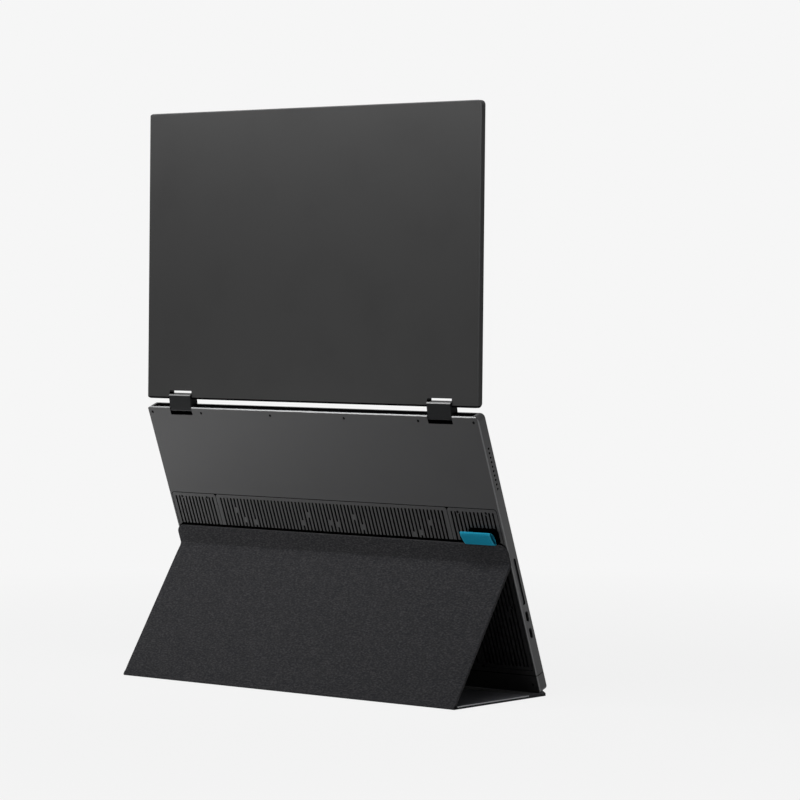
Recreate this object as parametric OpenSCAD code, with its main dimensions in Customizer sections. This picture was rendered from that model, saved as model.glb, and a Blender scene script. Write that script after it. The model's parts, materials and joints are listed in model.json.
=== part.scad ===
// Portable monitor: a thin screen panel on a lower housing, joined by two
// double-axis hinges and propped up by a folding fabric cover.
// Millimetres, +Z up, screen side towards -Y. The origin lies on the desk,
// midway across, under the rear bottom edge of the lower housing.

/* [Panels] */
// Width shared by both panels and the cover
panel_w = 356; // [330:1:380]
// Length of the lower housing, from bottom edge to hinge edge
base_len = 238; // [225:1:250]
// Thickness of the lower housing
base_t = 9; // [9:0.25:11]
// Length of the screen panel
lid_len = 239.2; // [236:0.2:250]
// Thickness of the screen panel
lid_t = 5.4; // [5.4:0.1:7]
// Radius of the panels' corners, seen from behind
corner_r = 4; // [2:0.5:8]
// Bevel along the rear edges
edge_bevel = 0.8; // [0.3:0.1:0.9]

/* [Opening] */
// Lean of the lower housing from upright
base_lean = 20.3; // [16:0.1:26]
// Angle between the screen and the front of the lower housing
open_angle = 158.9; // [140:0.1:175]

/* [Housing shells] */
// Rear wall of the lower housing
back_wall = 1.4; // [1.2:0.1:1.6]
// Side and top walls of the lower housing
side_wall = 1.6; // [1.4:0.1:2]
// Front plate of the lower housing
front_wall = 1.4; // [1.2:0.1:1.5]
// Height of the separate bottom edge cap
cap_h = 15.6; // [12:0.1:17]
// Sheet steel chassis inside the housing
chassis_t = 0.8; // [0.6:0.1:0.9]
// Gap at the seams between shells
seam = 0.15; // [0.1:0.05:0.2]

/* [Hinges] */
// Distance of each hinge's middle from the panels' side
hinge_side = 38.5; // [36:0.5:50]
// Width of a hinge block
block_w = 24; // [20:0.5:30]
// Depth of a hinge block, front to back
block_d = 8.4; // [7.6:0.1:8.6]
// Length of a hinge block past each axis
block_end = 2.3; // [2.1:0.1:2.5]
// Distance of each axis from the edge of its panel
axis_inset = 2.1; // [2:0.1:2.4]
// Gap between the panels' front faces when shut
closed_gap = 2.4; // [2.2:0.1:3]
// Diameter of the hinge shafts
shaft_d = 2.6; // [2:0.1:2.8]
// Radial running clearance of a shaft in its block
shaft_clear = 0.05; // [0.02:0.01:0.08]
// Clearance between a turning block and its notch
notch_clear = 0.35; // [0.25:0.05:0.6]
// Wall around a hinge notch
notch_wall = 1.2; // [1:0.1:1.5]

/* [Ribbed vent] */
// Distance of the ribbed field's top from the hinge edge
vent_drop = 78; // [68:1:88]
// Bottom of the ribbed field
vent_bottom = 19.5; // [19.5:0.5:24]
// Border beside the ribbed field
vent_side = 2.5; // [2.4:0.1:20]
// Width of each end pad
end_pad_w = 50.5; // [40:0.5:60]
// Distance from one slot to the next
slot_pitch = 3.8; // [3.2:0.1:5]
// Width of a slot
slot_w = 1.8; // [1:0.1:2]
// Length of a solid bridge that breaks a slot
bridge_len = 4.4; // [3:0.2:6]
// Groove around each pad
pad_groove = 0.6; // [0.3:0.1:0.8]

/* [Side keys and sockets] */
// Height of the key recess's centre along the housing
keys_s = 96; // [90:0.5:98]
// Length of the key recess
keys_len = 40; // [34:0.5:42]
// Width of the key recess
keys_w = 3.2; // [2.6:0.1:3.4]
// Travel of a key
key_travel = 0.4; // [0.2:0.1:0.4]
// Depth of the keys' faces below the side wall's outer face
key_sink = 0.6; // [0.1:0.1:0.8]
// Height of the upper socket's centre
socket_upper_s = 65.8; // [64:0.1:68]
// Height of the lower socket's centre
socket_lower_s = 51.4; // [48:0.1:53]
// Distance of the speaker hole row's centre from the hinge edge
speaker_drop = 45.3; // [40:0.1:50]
// Distance between speaker holes
speaker_pitch = 3.78; // [3:0.02:4]
// Number of speaker holes
speaker_holes = 10; // [6:1:10]
// Diameter of a speaker hole
speaker_hole_d = 1.9; // [1:0.1:2]

/* [Screen] */
// Border beside the picture
picture_side = 5.65; // [5.2:0.05:20]
// Border above the picture
picture_top = 6; // [5.4:0.1:20]
// Height of the chin below the picture
chin_h = 17.8; // [17:0.1:19]
// Thickness of the screen bezel
bezel_t = 0.8; // [0.6:0.1:0.9]
// Thickness of the liquid crystal panel
lcd_t = 1.4; // [1:0.1:1.6]
// Rear wall of the screen panel
lid_wall = 1; // [0.8:0.1:1.1]
// Side walls of the screen panel
lid_rim = 1.2; // [1:0.1:1.3]
// Height of the rubber bumpers
bumper_h = 1.7; // [1:0.1:1.9]

/* [Cover stand] */
// Thickness of the strip and flap
cover_t = 2.1; // [1.8:0.1:2.1]
// Height of the upper fold along the housing
fold_s = 112.6; // [105:0.5:120]
// Height of the mounting strip above the fold
strip_h = 16.9; // [14:0.1:20]
// Corner radius of the mounting strip
strip_r = 7; // [4:0.5:10]
// Distance between the two folds
flap_len = 127.3; // [120:0.1:135]
// Thickness of the sheet on the desk
sheet_t = 2.4; // [2.2:0.1:2.6]
// Distance of the sheet's front edge ahead of the housing's rear edge
sheet_front = 28; // [20:1:36]
// Corner cut at the front of the sheet
sheet_corner = 22; // [14:1:26]
// Distance of the magnet band's rear edge behind the housing's rear edge
band_rear = 15.7; // [12:0.1:20]
// Radius of the rolled fabric at a fold
fold_r = 1; // [0.8:0.05:1]
// Width of the pull tab
tab_w = 30; // [20:1:40]
// Distance of the pull tab's middle from the cover's side
tab_side = 24.5; // [20:0.5:60]
// Height of the pull tab above the strip
tab_h = 11.4; // [8:0.1:14]
// Depth of the pull tab's bulge, in cover thicknesses
tab_bulge = 2.8; // [1.6:0.1:3.2]

/* [Hidden] */
$fn = 48;

// --- colours
housing_grey = "#47484a";
inner_grey = "#5d6064";
fabric_grey = "#303235";
lining_grey = "#3a3d41";
black_part = "#17181a";
steel = "#a9adb2";
board_green = "#1d4a36";
tab_teal = "#1480a0";

// --- working clearances
sliver = 0.01;
part_gap = 0.3;
fit_gap = 0.05;
past = 1;

// --- opening geometry: both hinge axes turn by the same angle
fold_back = (180 - open_angle) / 2;
link_lean = base_lean - fold_back;
lid_lean = base_lean - 2 * fold_back;
hinge_centres = base_t / 2 + lid_t / 2 + closed_gap;

// --- stand geometry: the housing stands on its bevelled rear bottom edge, and
// the flap closes the triangle between housing and desk
foot_gap = 0.04;
housing_z = sheet_t + foot_gap - edge_bevel * sin(base_lean);
upper_fold_y = fold_s * sin(base_lean) + cover_t / 2 * cos(base_lean);
upper_fold_z = housing_z + fold_s * cos(base_lean) - cover_t / 2 * sin(base_lean);
flap_rise = upper_fold_z - sheet_t / 2;
floor_fold_y = upper_fold_y + sqrt(flap_len * flap_len - flap_rise * flap_rise);
flap_tilt = acos(flap_rise / flap_len);

// --- main fields, placed from the panels' edges
hinge_x = panel_w / 2 - hinge_side;
tab_x = tab_side - panel_w / 2;
vent_top = base_len - vent_drop;
vent_w = panel_w - 2 * vent_side;
speaker_s = base_len - speaker_drop;
picture_w = panel_w - 2 * picture_side;
picture_h = lid_len - chin_h - picture_top;

// --- layers inside the housing, measured from its rear face
front_in_y = -base_t + front_wall;
chassis_y = front_in_y + chassis_t;
back_in_y = -back_wall;
side_mid_y = -4.6;
ledge_t = 0.8;
ledge_w = 6;
mesh_t = 0.3;
board_t = 1;
inner_x = panel_w / 2 - side_wall;

// --- hinge notches
block_bevel = 1;
block_reach = max(
    norm([block_d / 2, block_end - block_bevel]), norm([block_d / 2 - block_bevel, block_end]));
notch_depth = axis_inset + block_reach + notch_clear;
notch_w = block_w + 2 * notch_clear;
shaft_in_block = 9.7;
shaft_bore_depth = 10;
bracket_w = 10;
wire_d = 1.8;
wire_bore_d = 2.2;

// --- placing frames: each is the local frame of one panel of the product
module in_housing() {
    translate([0, 0, housing_z]) rotate([-base_lean, 0, 0]) children();
}

module in_link() {
    in_housing() translate([0, -base_t / 2, base_len - axis_inset])
        rotate([base_lean - link_lean, 0, 0]) children();
}

module in_lid() {
    in_link() translate([0, 0, hinge_centres]) rotate([link_lean - lid_lean, 0, 0])
        translate([0, lid_t / 2, -axis_inset]) children();
}

module in_flap() {
    translate([0, floor_fold_y, sheet_t / 2]) rotate([flap_tilt, 0, 0]) children();
}

// --- shared shapes
// Slab whose rear face lies at y = 0, from an outline in X and height
module slab(t) {
    rotate([90, 0, 0]) linear_extrude(t) children();
}

// Bar along X, from an outline in Y and height
module bar_x(len) {
    rotate([90, 0, 90]) linear_extrude(len, center = true) children();
}

module box_between(low, high) {
    translate(low) cube(high - low);
}

module rod_x(x0, x1, d) {
    translate([min(x0, x1), 0, 0]) rotate([0, 90, 0]) cylinder(h = abs(x1 - x0), d = d);
}

module rounded_rect(w, h, r) {
    translate([-w / 2 + r, 0]) square([w - 2 * r, h]);
    translate([-w / 2, r]) square([w, h - 2 * r]);
    for (x = [-w / 2 + r, w / 2 - r], z = [r, h - r]) translate([x, z]) circle(r);
}

module top_rounded_rect(w, h, r) {
    translate([-w / 2 + r, 0]) square([w - 2 * r, h]);
    translate([-w / 2, 0]) square([w, h - r]);
    for (x = [-w / 2 + r, w / 2 - r]) translate([x, h - r]) circle(r);
}

module stadium(len, w) {
    square([w, len - w], center = true);
    for (z = [-1, 1]) translate([0, z * (len - w) / 2]) circle(d = w);
}

// A panel's outer form: rounded corners, bevelled rear edges
module panel_blank(len, t) {
    b = edge_bevel;
    w = panel_w / 2;
    intersection() {
        slab(t) rounded_rect(panel_w, len, corner_r);
        linear_extrude(len)
            polygon([[-w, -t], [w, -t], [w, -b], [w - b, 0], [b - w, 0], [-w, -b]]);
        bar_x(panel_w + past)
            polygon([[-t, 0], [-b, 0], [0, b], [0, len - b], [-b, len], [-t, len]]);
    }
}

// Notches for the hinge blocks, cut down from a panel edge at z = 0
module hinge_notches(t, wall) {
    for (side = [-1, 1])
        translate([side * hinge_x - notch_w / 2 - wall, -t - past, -notch_depth - wall])
            cube([notch_w + 2 * wall, t + 2 * past, notch_depth + wall + past]);
}

// Holes for the shafts and the wires through the walls beside the notches
module shaft_holes(y, z) {
    bore = shaft_d + 2 * shaft_clear;
    for (side = [-1, 1]) translate([0, y, z]) {
        rod_x(side * hinge_x, side * (bracket_x + bracket_w + past), bore);
        rod_x(side * (cable_x - ribbon_w / 2 - part_gap), side * hinge_x, wire_bore_d);
    }
}

// --- cover: sheet on the desk
fold_setback = 3;
sheet_len = floor_fold_y - fold_setback + sheet_front;
fabric_t = 0.75;
cover_board_t = 0.8;
board_inset = 4;
magnet_w = 40;
magnet_d = 8;

// Outline of the desk sheet in X and Y, between two distances from the front edge
module sheet_outline(front, rear, inset = 0) {
    w = panel_w / 2 - inset;
    c = sheet_corner;
    intersection() {
        translate([-w, front + inset]) square([2 * w, rear - front - 2 * inset]);
        translate([0, -sheet_front])
            polygon([
                [-w, c], [-w + c, inset], [w - c, inset], [w, c],
                [w, sheet_len + past], [-w, sheet_len + past]
            ]);
    }
}

module sheet_underside() {
    color(fabric_grey) linear_extrude(fabric_t)
        sheet_outline(-sheet_front, floor_fold_y - fold_setback);
}

module sheet_board() {
    color(steel) translate([0, 0, fabric_t]) linear_extrude(cover_board_t)
        sheet_outline(band_rear, floor_fold_y - fold_setback, board_inset);
}

module sheet_lining() {
    color(lining_grey) difference() {
        translate([0, 0, fabric_t]) linear_extrude(sheet_t - fabric_t)
            sheet_outline(band_rear, floor_fold_y - fold_setback);
        translate([0, 0, fabric_t - sliver]) linear_extrude(cover_board_t + sliver)
            sheet_outline(band_rear, floor_fold_y - fold_setback, board_inset);
    }
}

module magnet_places() {
    for (x = [-0.4, -0.2, 0, 0.2, 0.4]) translate([x * panel_w * 0.8, -base_t / 2, 0]) children();
}

module magnet_band() {
    color(fabric_grey) difference() {
        translate([0, 0, fabric_t]) linear_extrude(sheet_t - fabric_t)
            sheet_outline(-sheet_front, band_rear - part_gap);
        magnet_places() translate([-magnet_w / 2, -magnet_d / 2, fabric_t - sliver])
            cube([magnet_w, magnet_d, cover_board_t + sliver]);
    }
}

module hold_magnets() {
    color(steel) magnet_places() translate([-magnet_w / 2, -magnet_d / 2, fabric_t])
        cube([magnet_w, magnet_d, cover_board_t]);
}

// Rolled fabric of the floor fold, with the web that joins it to the sheet
module floor_fold() {
    web_z = sheet_t / 2 - fold_r;
    color(fabric_grey) translate([0, floor_fold_y, 0]) {
        translate([0, 0, sheet_t / 2]) rod_x(-panel_w / 2, panel_w / 2, 2 * fold_r);
        box_between([-panel_w / 2, -fold_setback, web_z], [panel_w / 2, 0, web_z + fabric_t]);
    }
}

// --- cover: propping flap, from the floor fold up to the upper fold
fold_gap = 0.4;
flap_end = fold_r + fold_gap;

module flap_layer(y0, y1, inset = 0) {
    box_between(
        [-panel_w / 2 + inset, y0, flap_end + inset],
        [panel_w / 2 - inset, y1, flap_len - flap_end - inset]);
}

module flap_fabric() {
    color(fabric_grey) in_flap() flap_layer(cover_t / 2 - fabric_t, cover_t / 2);
}

module flap_board() {
    y = cover_t / 2 - fabric_t;
    color(steel) in_flap() flap_layer(y - cover_board_t, y, board_inset);
}

module flap_lining() {
    y = cover_t / 2 - fabric_t;
    color(lining_grey) in_flap() difference() {
        flap_layer(-cover_t / 2, y);
        translate([0, sliver, 0]) flap_layer(y - cover_board_t - sliver, y, board_inset);
    }
}

// --- cover: strip bonded to the housing
module mount_strip() {
    z0 = fold_s + fold_r + fold_gap;
    color(fabric_grey) in_housing() translate([0, cover_t, z0])
        slab(cover_t) top_rounded_rect(panel_w, fold_s + strip_h - z0, strip_r);
}

module upper_fold() {
    color(fabric_grey) in_housing() translate([0, cover_t / 2, fold_s]) {
        rod_x(-panel_w / 2, panel_w / 2, 2 * fold_r);
        box_between(
            [-panel_w / 2, -fabric_t / 2, 0], [panel_w / 2, fabric_t / 2, fold_r + fold_gap]);
    }
}

// Folded ribbon loop that stands on the strip's top edge and bulges outwards
module pull_tab() {
    ribbon = 0.5;
    front = tab_bulge * cover_t;
    outline = [
        [0, 0], [cover_t, 0], [cover_t + (front - cover_t) * 0.6, 0.25 * tab_h],
        [front, 0.55 * tab_h], [0.86 * front, 0.94 * tab_h], [0.66 * front, tab_h],
        [0.46 * front, 0.96 * tab_h], [0.33 * front, 0.84 * tab_h], [0, 0.3 * tab_h]
    ];
    middle = [0.4 * front, 0.5 * tab_h];
    inside = [1 - 2.6 * ribbon / front, 1 - 2 * ribbon / tab_h];
    color(tab_teal) in_housing() translate([tab_x, part_gap, fold_s + strip_h])
        bar_x(tab_w) difference() {
            polygon(outline);
            translate(middle) scale(inside) translate(-middle) polygon(outline);
        }
}

// --- housing shells
screw_head_d = 2.2;
screw_shank_d = 1.4;
screw_sink = 0.35;
screw_head_t = 0.5;
boss_d = 4.4;
top_screw_drop = 4.8;
corner_screw_inset = 5.1;
hinge_screw_inset = 22.4;
middle_screw_x = 39.8;
top_screw_s = base_len - top_screw_drop;
top_screw_x = [middle_screw_x, hinge_x - hinge_screw_inset, panel_w / 2 - corner_screw_inset];
cap_screw_s = 7.4;
cap_screw_inset = 6;
cap_screw_x = panel_w / 2 - cap_screw_inset;
pad_screw_drop = 4;
pad_screw_inset = [11.5, 40];
pad_screw_s = vent_top - pad_screw_drop;
pad_screw_x = [for (inset = pad_screw_inset) vent_w / 2 - inset];
pad_low_screw_s = 75;
pad_low_screw_inset = 7;
pad_low_screw_x = vent_w / 2 - pad_low_screw_inset;
bracket_x = hinge_x + notch_w / 2 + notch_wall + part_gap;
cable_x = hinge_x - notch_w / 2 - notch_wall - part_gap;

module top_screw_places() {
    for (side = [-1, 1], x = top_screw_x) translate([side * x, 0, top_screw_s]) children();
}

module cap_screw_places() {
    for (side = [-1, 1]) translate([side * cap_screw_x, 0, cap_screw_s]) children();
}

module pad_screw_places() {
    for (side = [-1, 1]) {
        for (x = pad_screw_x) translate([side * x, 0, pad_screw_s]) children();
        translate([side * pad_low_screw_x, 0, pad_low_screw_s]) children();
    }
}

// Rod along Y, from a distance behind the rear face to a greater one
module rod_y(from, to, d) {
    translate([0, -from, 0]) rotate([90, 0, 0]) cylinder(h = to - from, d = d);
}

module screw_hole(depth) {
    rod_y(-past, screw_sink + screw_head_t + fit_gap, screw_head_d + 4 * fit_gap);
    rod_y(0, depth, screw_shank_d + 4 * fit_gap);
}

module screw(depth) {
    rod_y(screw_sink, screw_sink + screw_head_t, screw_head_d);
    rod_y(screw_sink, depth, screw_shank_d);
}

module above_cap() {
    box_between([-panel_w, -base_t - past, cap_h], [panel_w, past, base_len + past]);
}

module below_cap() {
    box_between([-panel_w, -base_t - past, -past], [panel_w, past, cap_h - seam]);
}

// Things that open on the left side: keys, sockets; speakers open on both
module side_openings() {
    for (side = [-1, 1], i = [0:speaker_holes - 1])
        translate([
            side * (inner_x - past), side_mid_y,
            speaker_s + (i - (speaker_holes - 1) / 2) * speaker_pitch
        ]) rod_x(0, side * (side_wall + 2 * past), speaker_hole_d);
    translate([-inner_x + past, side_mid_y, keys_s]) rotate([0, -90, 0])
        linear_extrude(side_wall + 2 * past) rotate(90) stadium(keys_len, keys_w);
    for (s = [socket_upper_s, socket_lower_s])
        translate([-inner_x + past, side_mid_y, s]) rotate([0, -90, 0])
            linear_extrude(side_wall + 2 * past) rotate(90)
                stadium(socket_w + 2 * fit_gap, socket_h + 2 * fit_gap);
}

// Ribbed field's outline, grown or shrunk
vent_r = 3;
module vent_field(grow) {
    translate([0, vent_bottom - grow])
        rounded_rect(vent_w + 2 * grow, vent_top - vent_bottom + 2 * grow, vent_r);
}

module housing_back_cover() {
    color(housing_grey) in_housing() {
        difference() {
            intersection() {
                panel_blank(base_len, base_t);
                above_cap();
            }
            difference() {
                box_between(
                    [-inner_x, -base_t - past, cap_h + side_wall],
                    [inner_x, back_in_y, base_len - side_wall]);
                translate([0, 0, base_len]) hinge_notches(base_t, notch_wall);
                // carrying ledge behind the ribbed field
                translate([0, back_in_y, 0]) vent_ledge();
            }
            translate([0, 0, base_len]) hinge_notches(base_t, 0);
            translate([0, past, 0]) slab(back_wall + past) vent_field(0);
            shaft_holes(-base_t / 2, base_len - axis_inset);
            side_openings();
            top_screw_places() screw_hole(base_t);
            pad_screw_places() screw_hole(base_t);
        }
    }
}

pad_edge_x = vent_w / 2 - end_pad_w;

module vent_ledge() {
    slab(ledge_t) difference() {
        vent_field(side_wall);
        difference() {
            vent_field(-ledge_w);
            for (side = [-1, 1])
                translate([side * pad_edge_x - ledge_w / 2, 0]) square([ledge_w, base_len]);
        }
    }
}

module housing_front_cover() {
    w = inner_x - seam;
    z0 = cap_h + side_wall + seam;
    z1 = base_len - side_wall - seam;
    color(housing_grey) in_housing() {
        difference() {
            union() {
                box_between([-w, -base_t, z0], [w, front_in_y, z1]);
                top_screw_places() rod_y(back_wall, base_t - front_wall, boss_d);
            }
            translate([0, 0, base_len]) hinge_notches(base_t, notch_wall + seam);
            top_screw_places() rod_y(0, base_t - front_wall, screw_shank_d + 2 * fit_gap);
            // the corner bosses stand against the side walls
            for (side = [-1, 1])
                translate([side * (w + panel_w / 2), -base_t / 2, base_len / 2])
                    cube([panel_w, 2 * base_t, 2 * base_len], center = true);
        }
    }
}

module bottom_edge_cap() {
    wall = side_wall;
    color(housing_grey) in_housing() difference() {
        intersection() {
            panel_blank(base_len, base_t);
            below_cap();
        }
        difference() {
            box_between(
                [-inner_x, -base_t + wall, wall], [inner_x, -wall, cap_h + past]);
            cap_screw_places() rod_y(0, base_t, boss_d + 2);
        }
        cap_screw_places() screw_hole(base_t - 2 * wall);
    }
}

// --- ribbed vent pads
pad_slot_margin = 3.2;
lug_wall = 0.8;
bridge_stride = 0.618;

// Bridges of the centre pad's upper field: number of the slot, and drop of
// the bridge from the pad's top
upper_bridges = [
    [4, 15], [7, 24], [9, 26], [23, 22.5], [25, 14], [30, 21.5],
    [32, 20.5], [38, 14.5], [40, 22], [54, 24], [57, 22.5], [59, 14]];

// Slot with rounded ends between two heights
module slot_between(x, z0, z1) {
    translate([x, (z0 + z1) / 2]) stadium(z1 - z0, slot_w);
}

// One pad between two X values, with its slots; a bridge breaks some slots,
// at listed drops or at heights that step through the pad
module vent_pad(x0, x1, shift, listed = []) {
    z0 = vent_bottom + pad_slot_margin;
    z1 = vent_top - pad_slot_margin;
    count = floor((x1 - x0 - 2 * slot_w) / slot_pitch);
    first = (x0 + x1) / 2 - (count - 1) / 2 * slot_pitch;
    low = z0 + 4 * bridge_len;
    high = listed == [] ? z1 - 1.5 * bridge_len : z0 + (z1 - z0) / 2;
    lead = floor(10 * shift);
    difference() {
        slab(back_wall) pad_outline(x0, x1);
        translate([0, past, 0]) slab(back_wall + 2 * past)
            for (i = [0:count - 1]) {
                x = first + i * slot_pitch;
                step = (i * bridge_stride + shift) % 1;
                drops = [for (b = listed) if (b[0] == i) b[1]];
                at = drops == [] ? high - (high - low) * step * step : vent_top - drops[0];
                if (drops != [] || (i + lead) % 5 == 2 || (i + lead) % 8 == 5) {
                    slot_between(x, z0, at - bridge_len / 2);
                    slot_between(x, at + bridge_len / 2, z1);
                } else {
                    slot_between(x, z0, z1);
                }
            }
    }
}

// Outline of one pad, its own top corners rounded
module pad_outline(x0, x1) {
    r = vent_r - pad_groove;
    z0 = vent_bottom + pad_groove;
    translate([(x0 + x1) / 2, z0])
        rounded_rect(x1 - x0, vent_top - pad_groove - z0, r);
}

module end_pad(side) {
    lug = screw_head_d + 2 * lug_wall;
    x0 = pad_edge_x + pad_groove / 2;
    color(housing_grey) in_housing() mirror([side < 0 ? 1 : 0, 0, 0]) difference() {
        union() {
            vent_pad(x0, vent_w / 2 - pad_groove, side < 0 ? 0.3 : 0.1);
            for (x = pad_screw_x) translate([x, 0, pad_screw_s]) rod_y(0, back_wall, lug);
            translate([pad_low_screw_x, 0, pad_low_screw_s]) rod_y(0, back_wall, lug);
        }
        for (x = pad_screw_x) translate([x, 0, pad_screw_s]) screw_hole(base_t);
        translate([pad_low_screw_x, 0, pad_low_screw_s]) screw_hole(base_t);
    }
}

module vent_grille_left() { end_pad(-1); }
module vent_grille_right() { end_pad(1); }

module vent_grille_centre() {
    x = pad_edge_x - pad_groove / 2;
    color(housing_grey) in_housing() vent_pad(-x, x, 0.2, upper_bridges);
}

// Dust mesh behind the slots
module vent_mesh() {
    color(black_part) in_housing() translate([0, back_in_y - ledge_t, 0]) difference() {
        slab(mesh_t) vent_field(-seam);
        pad_screw_places() rod_y(-past, base_t, boss_d);
    }
}

module back_screws() {
    color(black_part) in_housing() {
        top_screw_places() screw(base_t - front_wall - part_gap);
        cap_screw_places() screw(base_t - 3 * side_wall);
        pad_screw_places() screw(back_wall + ledge_t + mesh_t);
    }
}

// --- electronics in the housing
socket_w = 8.94;
socket_h = 3.26;
socket_wall = 0.3;
socket_depth = 7.4;
tongue_w = 6.7;
tongue_t = 0.7;
tongue_back = 1.6;
socket_mouth_x = -panel_w / 2 + 0.4;
main_board_w = 125;
main_board_y = side_mid_y + board_t / 2;
main_board_x0 = -inner_x + 3;
board_below_socket = 11.4;
main_board_s0 = socket_lower_s - board_below_socket;
board_edge = 5;
board_post_d = 3.2;
shield_h = 1.2;
shield_edge = 7;
shields = [[27, 26], [65, 34], [103, 20]];
key_flange_t = 0.8;
key_switch_d = 2;
key_board_x = -inner_x + part_gap + key_flange_t + key_travel + key_switch_d + 2 * fit_gap;
key_board_end = 1;
key_board_s0 = keys_s - keys_len / 2 - key_board_end;
main_board_s1 = key_board_s0 - part_gap;
speaker_d = 16;

module chassis_plate() {
    margin = 0.4;
    z0 = cap_h + side_wall + margin;
    z1 = base_len - side_wall - margin;
    x1 = inner_x - margin;
    color(steel) in_housing() difference() {
        union() {
            box_between([-x1, front_in_y, z0], [x1, chassis_y, z1]);
            // posts under the main board
            for (x = [main_board_x0 + shields[0][0] - board_edge, main_board_x0 + main_board_w - board_edge],
                 z = [main_board_s0 + board_edge, main_board_s1 - board_edge])
                translate([x, 0, z]) rod_y(-main_board_y + board_t, -front_in_y, board_post_d);
        }
        translate([0, 0, base_len]) hinge_notches(base_t, notch_wall + margin);
        top_screw_places() rod_y(0, base_t, boss_d + 2 * margin);
    }
}

module main_board() {
    color(board_green) in_housing() difference() {
        box_between(
            [main_board_x0, main_board_y - board_t, main_board_s0],
            [main_board_x0 + main_board_w, main_board_y, main_board_s1]);
        // the sockets sit in notches in the board's edge
        for (s = [socket_upper_s, socket_lower_s])
            translate([main_board_x0, 0, s])
                cube([2 * (socket_mouth_x + socket_depth + 2 * fit_gap - main_board_x0),
                    2 * base_t, socket_w + 2 * fit_gap], center = true);
    }
}

module board_shields() {
    color(steel) in_housing() for (c = shields)
        box_between(
            [main_board_x0 + c[0] - c[1] / 2, main_board_y, main_board_s0 + shield_edge],
            [main_board_x0 + c[0] + c[1] / 2, main_board_y + shield_h, main_board_s1 - shield_edge]);
}

// Flat speaker box with a port towards the side holes
module speaker(side) {
    len = speaker_pitch * (speaker_holes + 1);
    color(black_part) in_housing() mirror([side < 0 ? 1 : 0, 0, 0]) difference() {
        union() {
            box_between(
                [inner_x - speaker_d, chassis_y, speaker_s - len / 2],
                [inner_x - 0.1, -2.7, speaker_s + len / 2]);
        }
        translate([inner_x, side_mid_y, speaker_s])
            cube([6, 2, len - 4], center = true);
        translate([inner_x - speaker_d / 2, 0, speaker_s]) rod_y(2, 3.4, speaker_d - 5);
    }
}

module speaker_left() { speaker(-1); }
module speaker_right() { speaker(1); }

module at_socket(s) {
    translate([socket_mouth_x, side_mid_y, s]) rotate([90, 0, 90]) rotate(0) children();
}

// Pressed steel socket shell, open at the mouth
module socket_shell(s) {
    color(steel) in_housing() at_socket(s) difference() {
        linear_extrude(socket_depth) stadium(socket_w, socket_h);
        translate([0, 0, -past]) linear_extrude(socket_depth + 2 * past)
            stadium(socket_w - 2 * socket_wall, socket_h - 2 * socket_wall);
    }
}

module usb_socket_upper() { socket_shell(socket_upper_s); }
module usb_socket_lower() { socket_shell(socket_lower_s); }

module socket_tongues() {
    color(black_part) in_housing() for (s = [socket_upper_s, socket_lower_s]) at_socket(s) {
        translate([0, 0, socket_depth - tongue_back]) linear_extrude(tongue_back)
            stadium(
                socket_w - 2 * socket_wall - 2 * fit_gap, socket_h - 2 * socket_wall - 2 * fit_gap);
        translate([-tongue_t / 2, -tongue_w / 2, 1.2])
            cube([tongue_t, tongue_w, socket_depth - 1.2]);
    }
}

module key_board() {
    color(board_green) in_housing()
        box_between(
            [key_board_x, chassis_y, key_board_s0],
            [key_board_x + board_t, -2.8, keys_s + keys_len / 2 + key_board_end]);
}

key_count = 3;
key_pitch = keys_len / key_count;

module key_switches() {
    color(black_part) in_housing() for (i = [-1:1])
        box_between(
            [key_board_x - key_switch_d, side_mid_y - 1.5, keys_s + i * key_pitch - 1.5],
            [key_board_x, side_mid_y + 1.5, keys_s + i * key_pitch + 1.5]);
}

// One key: its share of the recess, with a flange behind the wall
module side_key(i) {
    gap = 0.15;
    split = 0.25;
    span = key_pitch - split;
    z = keys_s + i * key_pitch;
    color(inner_grey) in_housing() {
        intersection() {
            translate([-inner_x + part_gap, side_mid_y, keys_s]) rotate([0, -90, 0])
                linear_extrude(side_wall - part_gap - key_sink) rotate(90)
                    stadium(keys_len - 2 * gap, keys_w - 2 * gap);
            box_between(
                [-panel_w, -base_t, z - span / 2], [0, 0, z + span / 2]);
        }
        box_between(
            [-inner_x + part_gap, side_mid_y - keys_w / 2 - 0.4, z - span / 2],
            [-inner_x + part_gap + key_flange_t, side_mid_y + keys_w / 2 + 0.4, z + span / 2]);
    }
}

module key_up() { side_key(1); }
module key_select() { side_key(0); }
module key_down() { side_key(-1); }

// --- hinges
lcd_border = 2.4;
lower_foot = 14;
upper_foot = chin_h - lcd_border - axis_inset - part_gap;
foot_t = 0.9;

// Clamp bracket with a foot; local origin on the shaft's axis, material towards -Z
module clamp_bracket(half_h, top, seat, foot) {
    difference() {
        union() {
            box_between([bracket_x, -half_h, -4.4], [bracket_x + bracket_w, half_h, top]);
            box_between(
                [bracket_x, min(seat, seat - foot_t * sign(seat)), -foot],
                [bracket_x + bracket_w, max(seat, seat - foot_t * sign(seat)), 0]);
        }
        rod_x(bracket_x - past, bracket_x + bracket_w + past, shaft_d);
    }
}

module hinge_shaft() {
    x0 = hinge_x + block_w / 2 - shaft_in_block;
    rod_x(x0, bracket_x + bracket_w, shaft_d);
}

module lower_axis(side) {
    in_housing() translate([0, -base_t / 2, base_len - axis_inset])
        mirror([side < 0 ? 1 : 0, 0, 0]) children();
}

module upper_axis(side) {
    in_lid() translate([0, -lid_t / 2, axis_inset])
        mirror([side < 0 ? 1 : 0, 0, 0]) children();
}

module lower_bracket(side) {
    color(steel) lower_axis(side)
        clamp_bracket(
            1.9, axis_inset - side_wall - 0.1, chassis_y + base_t / 2, lower_foot);
}

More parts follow.
